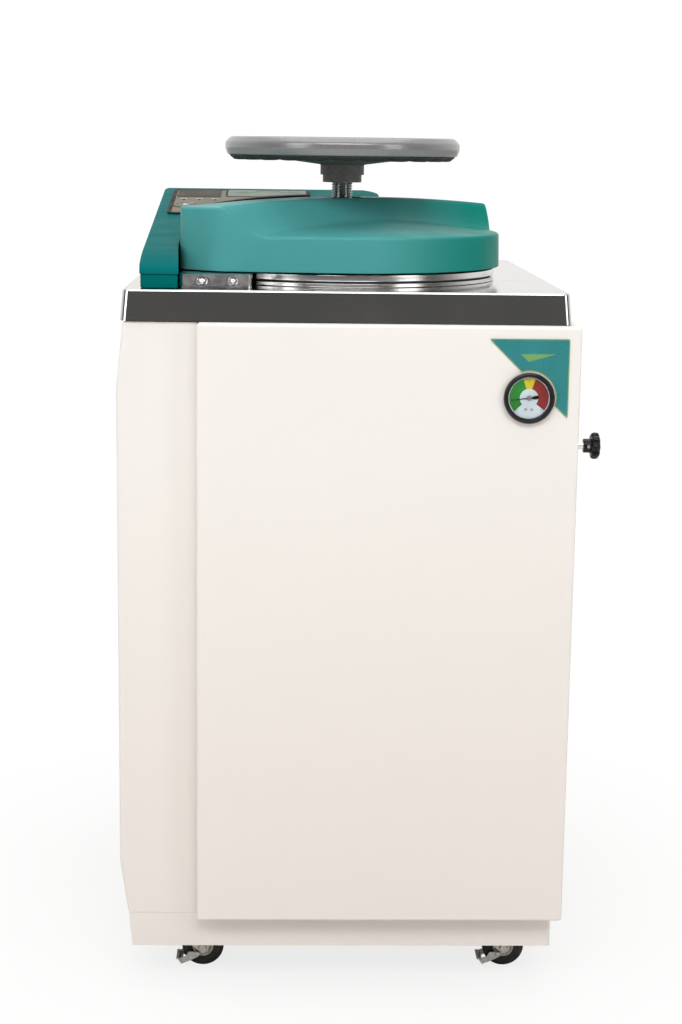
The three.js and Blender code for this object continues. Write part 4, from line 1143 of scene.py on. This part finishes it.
def keypad():
    hole = lambda: moved(round_plate(16.8 * mm, -THROUGH, THROUGH, 48), at(KEY_PLAN[0], KEY_PLAN[1], 0))
    ring = bevelled(prism(keypad_outline(0, 9 * mm), 0.2 * mm, 2.3 * mm), 0.7 * mm, 3, 60)
    ring = cut(ring, prism(keypad_outline(5 * mm, 5 * mm), 1.4 * mm, 5 * mm), hole())
    piece("keypad_frame", on_panel(ring), BEZEL_BROWN, ["console_bezel"])
    film = cut(prism(keypad_outline(5.2 * mm, 5 * mm), 1.4 * mm, 1.9 * mm), hole())
    piece("keypad_film", on_panel(film), FILM_GREY)
    lcd_frame = bevelled(prism(rect(DISPLAY, 0, 3 * mm), 1.8 * mm, 2.5 * mm), 0.3 * mm, 2, 60)
    piece("display_window", on_panel(lcd_frame), LCD_OLIVE, ["console_display"])
    diagram()
    legends()
    start_key()


KEY_PLAN = (SHIFT.x - 200 * mm, SHIFT.y + 42 * mm)


def start_key():
    disc = lathe([(0, 1.4 * mm), (16 * mm, 1.4 * mm), (16 * mm, 3.6 * mm, 1 * mm), (0, 3.3 * mm)], 64)
    stem = round_plate(5 * mm, -8 * mm, 2 * mm, 24)
    cap = moved(merged(disc, stem), at(*KEY_PLAN, 0))
    piece("round_key_cap", on_panel(cap), FILM_GREY, ["start_key"], body="start_button")
    halo = round_plate(13.6 * mm, 3.3 * mm, 3.75 * mm, 64, 0, 12.6 * mm)
    piece(
        "round_key_ring", on_panel(moved(halo, at(*KEY_PLAN, 0))), INK_DARK,
        body="start_button",
    )
    mark = prism([(-3 * mm, -5 * mm), (5 * mm, 0), (-3 * mm, 5 * mm)], 3.2 * mm, 3.8 * mm)
    piece(
        "round_key_mark", on_panel(moved(mark, at(*KEY_PLAN, 0))), INK_WHITE,
        body="start_button",
    )


def line(points, width, z0, z1):
    """A flat printed line through plan points."""
    parts = []
    for a, b in zip(points, points[1:]):
        a, b = Vector(a), Vector(b)
        along = (b - a).normalized() * width / 2
        side = Vector((-along.y, along.x))
        corners = [a - along - side, b + along - side, b + along + side, a - along + side]
        parts.append(prism([(p.x, p.y) for p in corners], z0, z1))
    return merged(*parts)


def diagram():
    """A pale window with a generic flow path: chamber, valve and drain as plain shapes."""
    window = prism(rect(DIAGRAM, 0, 5 * mm), 1.8 * mm, 2.4 * mm)
    bite = 208 * mm + 8 * mm
    disc = round_plate(bite, -0.01, 0.02, 128)
    window = cut(window, moved(disc, at(LID.x, LID.y, 0)))
    piece("flow_diagram_window", on_panel(window), FILM_PALE, ["diagram_window"])
    rim = cut(
        prism(rect(DIAGRAM, -2.6 * mm, 7 * mm), 1.5 * mm, 2.2 * mm),
        prism(rect(DIAGRAM, 0.2 * mm, 5 * mm), 0, 0.01),
    )
    outer_disc = round_plate(bite - 2 * mm, -0.01, 0.02, 128)
    rim = cut(rim, moved(outer_disc, at(LID.x, LID.y, 0)))
    piece("flow_diagram_border", on_panel(rim), BEZEL_BROWN)
    x0, x1, y0, y1 = DIAGRAM
    width, height = x1 - x0, y1 - y0
    spot = lambda u, v: (x0 + width * u, y0 + height * v)
    paths = [
        [spot(0.08, 0.62), spot(0.34, 0.62), spot(0.42, 0.90)],
        [spot(0.42, 0.90), spot(0.60, 0.90), spot(0.72, 0.62), spot(0.92, 0.62)],
        [spot(0.22, 0.62), spot(0.22, 0.86)], [spot(0.80, 0.62), spot(0.80, 0.86)],
    ]
    ink = merged(*[line(p, 0.9 * mm, 2.3 * mm, 2.6 * mm) for p in paths])
    piece("flow_diagram_lines", on_panel(ink), INK_DARK)


def legends():
    """Three small indicator lenses with plain bars in place of words."""
    y = SHIFT.y + 93 * mm
    lenses, bars = [], []
    for x in (-205, -184.5, -163.5):
        x = SHIFT.x + x * mm
        lens = [(0, 1.8 * mm), (2.2 * mm, 1.8 * mm), (2.2 * mm, 2.8 * mm, 0.8 * mm), (0, 2.9 * mm)]
        lenses.append(moved(lathe(lens, 24), at(x, y - 6 * mm, 0)))
        bars.append(rect((x - 4 * mm, x + 4 * mm, y - 0.4 * mm, y + 1.6 * mm), 0, 0.6 * mm))
    x, y = KEY_PLAN
    bars.append(rect((x - 3 * mm, x + 9 * mm, y + 21 * mm, y + 23.4 * mm), 0, 1 * mm))
    bars = [prism(bar, 1.8 * mm, 2.2 * mm) for bar in bars]
    piece("indicator_lenses", on_panel(merged(*lenses)), INK_DARK)
    piece("indicator_bars", on_panel(merged(*bars)), INK_WHITE)


# ---------------------------------------------------------------- gauge and label
GAUGE = centre("gauge_case")
GAUGE.y = FRONT_LO.y
GAUGE_FRAME = Matrix.Translation(GAUGE) @ Matrix.Rotation(math.pi / 2, 4, "X")
DIAL_RADIUS = 23.5 * mm


def sector(inner, outer, start, end, z0, z1):
    """A flat ring sector between two clock-style angles, in degrees anticlockwise from the right."""
    steps = max(4, int((end - start) / 4))
    return prism(arc(0, 0, outer, start, end, steps) + arc(0, 0, inner, end, start, steps), z0, z1)


def gauge():
    radius, bore, proud = 28.85 * mm, 24 * mm, 7.5 * mm
    case = lathe([
        (0, -22 * mm), (bore, -22 * mm, 2 * mm), (bore, 0.3 * mm), (radius, 0.3 * mm, 0.8 * mm),
        (radius, proud - 1.5 * mm, 1.5 * mm), (radius - 1.5 * mm, proud, 1.5 * mm),
        (bore + 1.2 * mm, proud, 0.8 * mm), (bore, proud - 1.6 * mm), (bore, 0.8 * mm), (0, 0.8 * mm),
    ], 128)
    piece("gauge_bezel_and_case", case, GLOSS_BLACK, ["gauge_case"], GAUGE_FRAME)
    dial = lathe([
        (0, 1.1 * mm), (DIAL_RADIUS, 1.1 * mm), (DIAL_RADIUS, 2 * mm, 0.2 * mm), (0, 2 * mm),
    ], 96)
    piece("gauge_dial_face", dial, DIAL_PALE, ["gauge_dial"], GAUGE_FRAME)
    z0, z1 = 1.95 * mm, 2.1 * mm
    inner, outer = 10.5 * mm, 22.3 * mm
    for name, start, end, material in (
        ("green", 107.6, 223, DIAL_GREEN), ("yellow", 72.5, 107.6, DIAL_YELLOW),
        ("red", -39, 72.5, DIAL_RED),
    ):
        zone = sector(inner, outer, start, end, z0, z1)
        piece(f"gauge_zone_{name}", zone, material, (), GAUGE_FRAME)
    gauge_scale(z0, z1)
    gauge_pointer()
    lens = lathe([
        (0, 5.2 * mm), (DIAL_RADIUS, 5.2 * mm), (DIAL_RADIUS, 6.2 * mm, 0.3 * mm), (0, 6.3 * mm),
    ], 96)
    piece("gauge_glass", lens, GLASS, ["gauge_lens"], GAUGE_FRAME)


def text_mesh(words, size):
    """Flat numerals with a little thickness."""
    curve = bpy.data.curves.new("numerals", "FONT")
    curve.body = words
    curve.size = size
    curve.extrude = 0.05 * mm
    curve.align_x = "CENTER"
    curve.align_y = "CENTER"
    obj = new_object("numerals", curve)
    bm = bmesh.new()
    bm.from_mesh(obj.evaluated_get(bpy.context.evaluated_depsgraph_get()).to_mesh())
    bpy.data.objects.remove(obj)
    bpy.data.curves.remove(curve)
    bmesh.ops.remove_doubles(bm, verts=bm.verts, dist=1e-6)
    return bm


def gauge_scale(z0, z1):
    """Ticks from zero at the lower left to full scale at the lower right, with plain numerals."""
    marks = []
    divisions = 20
    for i in range(divisions + 1):
        angle = math.radians(226 - 270 * i / divisions)
        long = i % 5 == 0
        a, b = 22.4 * mm, (23.4 if long else 23.0) * mm
        half = (0.22 if long else 0.12) * mm
        tick = block(a, b, -half, half, z0, z1)
        marks.append(moved(tick, Matrix.Rotation(angle, 4, "Z")))
    for i in range(5):
        angle = math.radians(226 - 270 * i / 4)
        r = 19.0 * mm
        numeral = text_mesh(str(i), 2.6 * mm)
        marks.append(moved(numeral, at(r * math.cos(angle), r * math.sin(angle), z1 + 0.05 * mm)))
    piece("gauge_scale_marks", merged(*marks), DIAL_INK, (), GAUGE_FRAME)
    screws = []
    for x in (-3.3, 3.3):
        head = lathe([
            (0, z0), (1.5 * mm, z0), (1.5 * mm, z0 + 0.6 * mm, 0.3 * mm), (0, z0 + 0.7 * mm),
        ], 24)
        screws.append(moved(head, at(x * mm, -13.0 * mm, 0)))
    piece("gauge_dial_screws", merged(*screws), ZINC, (), GAUGE_FRAME)


def gauge_pointer():
    side = [(-20, 0.16), (-6, 0.5), (0, 0.9), (3.5, 1.0), (5.5, 1.8), (9.5, 2.0), (10.8, 1.1)]
    upper = [(x * mm, y * mm, 0.8 * mm if x > 3 else 0) for x, y in side]
    lower = [(x, -y, r) for x, y, r in reversed(upper)]
    blade = bevelled(prism(rounded(lower + upper, True), 2.8 * mm, 3.5 * mm), 0.12 * mm, 2, 60)
    at_rest = GAUGE_FRAME @ Matrix.Rotation(math.radians(7), 4, "Z")
    piece(
        "gauge_needle_blade", blade, GLOSS_BLACK, ["gauge_needle"], at_rest,
        body="gauge_pointer",
    )
    hub = lathe([
        (0, 2.3 * mm), (2.9 * mm, 2.3 * mm), (2.9 * mm, 4.1 * mm, 0.7 * mm), (1.2 * mm, 4.2 * mm),
        (0, 4.5 * mm),
    ], 48)
    piece("gauge_needle_hub", hub, ZINC, (), GAUGE_FRAME, body="gauge_pointer")


def label():
    lo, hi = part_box("label_plate")
    to_front = upright(0, hi.y, 0)
    thick = hi.y - lo.y
    notch = lambda r: moved(round_plate(r, -10 * mm, 10 * mm), at(GAUGE.x, GAUGE.z, 0))

    def triangle(e, z1):
        shape = [
            (lo.x + 2.42 * e, hi.z - e, 1.5 * mm), (hi.x - e, lo.z + 2.42 * e, 1.5 * mm),
            (hi.x - e, hi.z - e, 2 * mm),
        ]
        return cut(prism(rounded(shape, True), 0, z1), notch(30.9 * mm + e))

    piece("label_border", triangle(0, thick * 0.8), LABEL_EDGE, ["label_plate"], to_front)
    piece("label_face", triangle(1.1 * mm, thick), LABEL_TEAL, (), to_front)
    flash = [
        (hi.x - 55 * mm, hi.z - 17 * mm), (hi.x - 46 * mm, hi.z - 25.5 * mm),
        (hi.x - 15 * mm, hi.z - 17 * mm),
    ]
    accent = prism(flash, thick - 0.02 * mm, thick + 0.12 * mm)
    piece("label_accent", accent, LABEL_EDGE, (), to_front)


# ---------------------------------------------------------------- exhaust valve
VALVE = centre("valve_stem")


def exhaust_valve():
    along_x = at(0, VALVE.y, VALVE.z) @ Matrix.Rotation(math.pi / 2, 4, "Y")
    lo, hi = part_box("valve_collar")
    collar = lathe([
        (5 * mm, lo.x), (11 * mm, lo.x, 0.4 * mm), (9.5 * mm, lo.x + 3 * mm, 1.5 * mm),
        (6.5 * mm, hi.x, 1 * mm), (5 * mm, hi.x),
    ], 64)
    piece("valve_wall_collar", collar, CHROME, ["valve_collar"], along_x)
    lo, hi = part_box("valve_stem")
    stem = lathe([(0, lo.x), (4 * mm, lo.x, 0.5 * mm), (4 * mm, hi.x), (0, hi.x)], 40)
    piece("valve_spindle", stem, CHROME, ["valve_stem"], along_x, body="exhaust_knob")
    lo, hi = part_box("valve_knob")
    hub_end = lo.x + 10 * mm
    hub = lathe([
        (4.3 * mm, lo.x), (8.2 * mm, lo.x, 1 * mm), (8.2 * mm, hub_end), (4.3 * mm, hub_end),
    ], 48)
    lobes = 8
    segments = lobes * 16
    peak = (hi.z - lo.z) / 2
    rings = []
    for x, scale in (
        (hub_end - 1.5 * mm, 0.55), (hub_end - 1.2 * mm, 0.86), (hub_end - 0.4 * mm, 0.94),
        (hub_end + 1.6 * mm, 1.0),
        (hi.x - 4.5 * mm, 1.0), (hi.x - 2.2 * mm, 0.97), (hi.x - 1.0 * mm, 0.88),
        (hi.x - 0.2 * mm, 0.72), (hi.x, 0.5),
    ):
        ring = []
        for i in range(segments):
            a = 2 * math.pi * i / segments
            lobe = 0.5 + 0.5 * math.cos(a * lobes)
            r = scale * (peak - 2.4 * mm * (1 - lobe**0.6))
            ring.append((r * math.cos(a), r * math.sin(a), x))
        rings.append(ring)
    grip = skin([[(0, 0, rings[0][0][2])]] + rings + [[(0, 0, hi.x - 0.4 * mm)]])
    piece(
        "valve_knob_grip", merged(hub, grip), BLACK, ["valve_knob"], along_x, 45,
        body="exhaust_knob",
    )
    screw = lathe([
        (0, 7.6 * mm), (1.9 * mm, 7.6 * mm), (1.9 * mm, 8.6 * mm, 0.3 * mm), (0, 8.7 * mm),
    ], 32)
    slot = block(-3 * mm, 3 * mm, -0.25 * mm, 0.25 * mm, 8.3 * mm, 9 * mm)
    facing = upright(lo.x + 5.5 * mm, VALVE.y, VALVE.z)
    tilt = facing @ Matrix.Rotation(math.radians(40), 4, "Z")
    piece("knob_set_screw", cut(screw, slot), ZINC, (), tilt, body="exhaust_knob")


# ---------------------------------------------------------------- casters
def caster(end, side):
    where = f"{end}_{side}"
    hub = centre(f"caster_wheel_{where}")
    swivel, roll = f"swivel_{where}", f"roll_{where}"
    fork = bevelled(from_node(f"caster_fork_{where}"), 0.5 * mm, 2, 40)
    piece(f"caster_yoke_{where}", fork, ZINC, [f"caster_fork_{where}"], body=swivel)
    radius, half = 25.5 * mm, 8.5 * mm
    axle = Matrix.Translation(hub) @ Matrix.Rotation(math.pi / 2, 4, "X")
    tyre = lathe([
        (12.6 * mm, -half + 0.8 * mm), (radius - 5 * mm, -half + 0.4 * mm, 3 * mm),
        (radius, -half + 3.5 * mm, 3 * mm), (radius, half - 3.5 * mm, 3 * mm),
        (radius - 5 * mm, half - 0.4 * mm, 3 * mm), (12.6 * mm, half - 0.8 * mm),
    ], 96)
    piece(f"caster_tyre_{where}", tyre, RUBBER, [f"caster_wheel_{where}"], axle, body=roll)
    face = [
        (3.4, 0.2, 0), (6.0, 0.2, 0.6), (6.4, 2.2, 0.6), (9.6, 2.6, 0.8), (10.2, 0.6, 0.6),
        (12.7, 0.4, 0.5),
    ]
    near = [(r * mm, -half + z * mm, c * mm) for r, z, c in face]
    rim = lathe(near + [(r, -z, c) for r, z, c in reversed(near)], 72)
    ribs = []
    for i in range(6):
        for z in (-half + 1.4 * mm, half - 3.0 * mm):
            rib = bevelled(block(
                6.0 * mm, 10.2 * mm, -0.8 * mm, 0.8 * mm, z, z + 1.6 * mm,
            ), 0.3 * mm, 2)
            ribs.append(moved(rib, Matrix.Rotation(math.pi * i / 3, 4, "Z")))
    piece(f"caster_rim_{where}", merged(rim, *ribs), CASTER_CREAM, (), axle, body=roll)
    nut_face = hub.y - 12.2 * mm
    nut = lathe([(0, 0), (5 * mm, 0), (5 * mm, 3 * mm, 0.6 * mm), (0, 3.2 * mm)], 6)
    turn = Matrix.Rotation(math.pi / 2, 4, "X")
    piece(
        f"caster_nut_{where}", nut, ZINC, (), at(hub.x, nut_face, hub.z) @ turn, 20,
        body=swivel,
    )
    if end == "front":
        pedal = bevelled(from_node(f"brake_lever_{side}"), 0.35 * mm, 2, 40)
        piece(
            f"brake_pedal_plate_{side}", pedal, ZINC, [f"brake_lever_{side}"],
            body=f"brake_pedal_{side}",
        )
        pin = lathe([(0, 0), (3.2 * mm, 0), (3.2 * mm, 1.6 * mm, 0.5 * mm), (0, 1.8 * mm)], 24)
        lever_lo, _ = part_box(f"brake_lever_{side}")
        place = at(hub.x - 7 * mm, lever_lo.y, 18 * mm) @ turn
        piece(f"brake_pin_{side}", pin, ZINC, (), place, body=f"brake_pedal_{side}")


# ---------------------------------------------------------------- rear fittings and internals
def rear_fittings():
    for node, name, material, body, slot, width in (
        ("drain_valve", "drain_valve_body", BRASS, "cabinet", "brass", 0.5),
        ("drain_lever", "drain_valve_lever", BLACK, "drain_handle", "black_plastic", 0.9),
        ("cord_gland", "cable_gland", BLACK, "cabinet", "black_plastic", 0.4),
        ("breaker_body", "breaker_frame", BLACK, "cabinet", "black_plastic", 0.6),
        ("breaker_rocker", "breaker_toggle", BLACK, "power_rocker", "black_plastic", 1.0),
    ):
        bm = bevelled(from_node(node), width * mm, 3, 40)
        piece(name, bm, material, [node], body=body)
    screws = []
    lo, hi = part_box("rear_panel")
    xs = (lo.x + 10 * mm, (lo.x + hi.x) / 2, hi.x - 10 * mm)
    for x in xs:
        for z in (lo.z + 12 * mm, (lo.z + hi.z) / 2, hi.z - 12 * mm):
            screws.append(moved(
                pan_screw(3.4 * mm), at(x, hi.y, z) @ Matrix.Rotation(-math.pi / 2, 4, "X"),
            ))
    piece("rear_panel_screws", merged(*screws), ZINC)


def pan_screw(radius):
    """A pan head with a cross recess."""
    head = lathe([
        (0, 0), (radius, 0), (radius, 0.9 * mm, 0.8 * mm), (radius * 0.6, 1.9 * mm, 1 * mm),
        (0, 2.1 * mm),
    ], 32)
    slots = [block(-1.7 * mm, 1.7 * mm, -0.35 * mm, 0.35 * mm, 1 * mm, 3 * mm) for _ in range(2)]
    moved(slots[1], Matrix.Rotation(math.pi / 2, 4, "Z"))
    return cut(head, *slots)


def internals():
    for node, material in (
        ("control_board", BOARD_GREEN), ("valve_body", BRASS), ("exhaust_bottle", BOTTLE),
        ("exhaust_pipe", RING_STEEL),
        ("solenoid_valve", BRASS), ("safety_valve", BRASS), ("drain_pipe", RING_STEEL),
        ("temperature_probe", VESSEL_STEEL),
        ("safety_lever", RING_STEEL),
    ):
        dressed(node, material)


# ---------------------------------------------------------------- stage, light and camera
def floor():
    s = Shader("studio_floor")
    shade = s.mix(s.spread(s.noise(1.2, 2), 0, 0.4), (0.74, 0.73, 0.72), (0.70, 0.69, 0.68))
    diffuse = s.node("ShaderNodeBsdfDiffuse", Color=shade)
    glow = s.node("ShaderNodeEmission", Color=(1, 1, 1, 1), Strength=1.02)
    spot = s.node("ShaderNodeVectorMath", {"operation": "LENGTH"}, i0=s.place).outputs["Value"]
    away = s.spread(spot, 0.78, 1.0, 0.3, 0.9)
    seen = s.node("ShaderNodeLightPath").outputs["Is Camera Ray"]
    blend = s.node("ShaderNodeMath", {"operation": "MULTIPLY"}, i0=away, i1=seen).outputs[0]
    mix = s.node("ShaderNodeMixShader", i0=blend, i1=diffuse.outputs[0], i2=glow.outputs[0])
    s.tree.links.new(mix.outputs[0], s.output.inputs[0])
    ground = skin([[(x, y, 0) for x, y in ((-9, -9), (9, -9), (9, 9), (-9, 9))]], cap_last=True)
    mesh = bpy.data.meshes.new("studio_floor")
    ground.to_mesh(mesh)
    mesh.materials.append(s.material)
    obj = new_object("studio_floor", mesh)


def world():
    """White to the camera; in reflections a bright backdrop behind and a dark studio in front."""
    made = bpy.data.worlds.new("studio")
    bpy.context.scene.world = made
    made.use_nodes = True
    tree = made.node_tree
    tree.nodes.clear()
    new = tree.nodes.new
    link = tree.links.new
    direction = new("ShaderNodeTexCoord").outputs["Generated"]
    parts = new("ShaderNodeSeparateXYZ")
    link(direction, parts.inputs[0])
    ramps = []
    backward, upward = 1, 2
    for axis, ramp in ((backward, (-0.35, 0.5, 0.10, 0.95)), (upward, (0.15, 0.95, 0.0, 0.6))):
        tone = new("ShaderNodeMapRange")
        tone.interpolation_type = "SMOOTHSTEP"
        link(parts.outputs[axis], tone.inputs[0])
        for index, value in enumerate(ramp):
            tone.inputs[index + 1].default_value = value
        ramps.append(tone)
    brightest = new("ShaderNodeMath")
    brightest.operation = "MAXIMUM"
    for index, ramp in enumerate(ramps):
        link(ramp.outputs[0], brightest.inputs[index])
    tone = new("ShaderNodeBackground")
    tone.inputs[0].default_value = (1.0, 0.985, 0.965, 1)
    link(brightest.outputs[0], tone.inputs[1])
    white = new("ShaderNodeBackground")
    white.inputs[0].default_value = (1, 1, 1, 1)
    white.inputs[1].default_value = 1.02
    seen = new("ShaderNodeLightPath").outputs["Is Camera Ray"]
    mix = new("ShaderNodeMixShader")
    link(seen, mix.inputs[0])
    link(tone.outputs[0], mix.inputs[1])
    link(white.outputs[0], mix.inputs[2])
    link(mix.outputs[0], new("ShaderNodeOutputWorld").inputs[0])


def softbox(name, place, target, size, power, tint=(1, 1, 1)):
    light = bpy.data.lights.new(name, "AREA")
    light.shape = "RECTANGLE"
    light.size, light.size_y = size
    light.energy = power
    light.color = tint
    obj = new_object(name, light)
    obj.location = place
    obj.rotation_euler = (Vector(target) - Vector(place)).to_track_quat("-Z", "Y").to_euler()


def lights():
    middle = (0, 0, 0.6)
    softbox("key_left", (-2.0, -2.1, 1.8), middle, (1.1, 1.9), 20, (1.0, 0.99, 0.98))
    softbox("fill_right", (2.1, -2.0, 1.6), middle, (0.9, 1.7), 14, (1.0, 0.98, 0.96))
    softbox("top", (0, 0.2, 2.9), (0, 0, 0.9), (2.2, 2.2), 22)
    softbox("front_high", (0.0, -2.5, 2.5), (0, 0, 0.85), (2.4, 0.9), 37, (1.0, 0.985, 0.97))


def camera():
    """The viewing angle: 10.8 degrees down, 1.65 degrees to the right, rolled 0.75 degrees."""
    data = bpy.data.cameras.new("camera")
    data.sensor_width = 36
    data.lens = 68.0
    obj = new_object("camera", data)
    obj.location = SHIFT + Vector((-66.6, -2503.7, 997.9)) * mm
    forward = Vector((0.028295, 0.981823, -0.187680))
    right = Vector((0.999570, -0.026352, 0.012842))
    up = right.cross(forward)
    aim = Matrix((right, up, -forward)).transposed().to_4x4()
    obj.matrix_world = Matrix.Translation(obj.location) @ aim
    data.clip_start, data.clip_end = 0.05, 50
    bpy.context.scene.camera = obj


cabinet()
vessel()
lid_cover()
lid_inside()
closing_screw()
latch_and_post()
console()
gauge()
label()
exhaust_valve()
for end in ("front", "rear"):
    for side in ("left", "right"):
        caster(end, side)
rear_fittings()
internals()
floor()
world()
lights()
camera()
bpy.context.scene.view_settings.view_transform = "Standard"
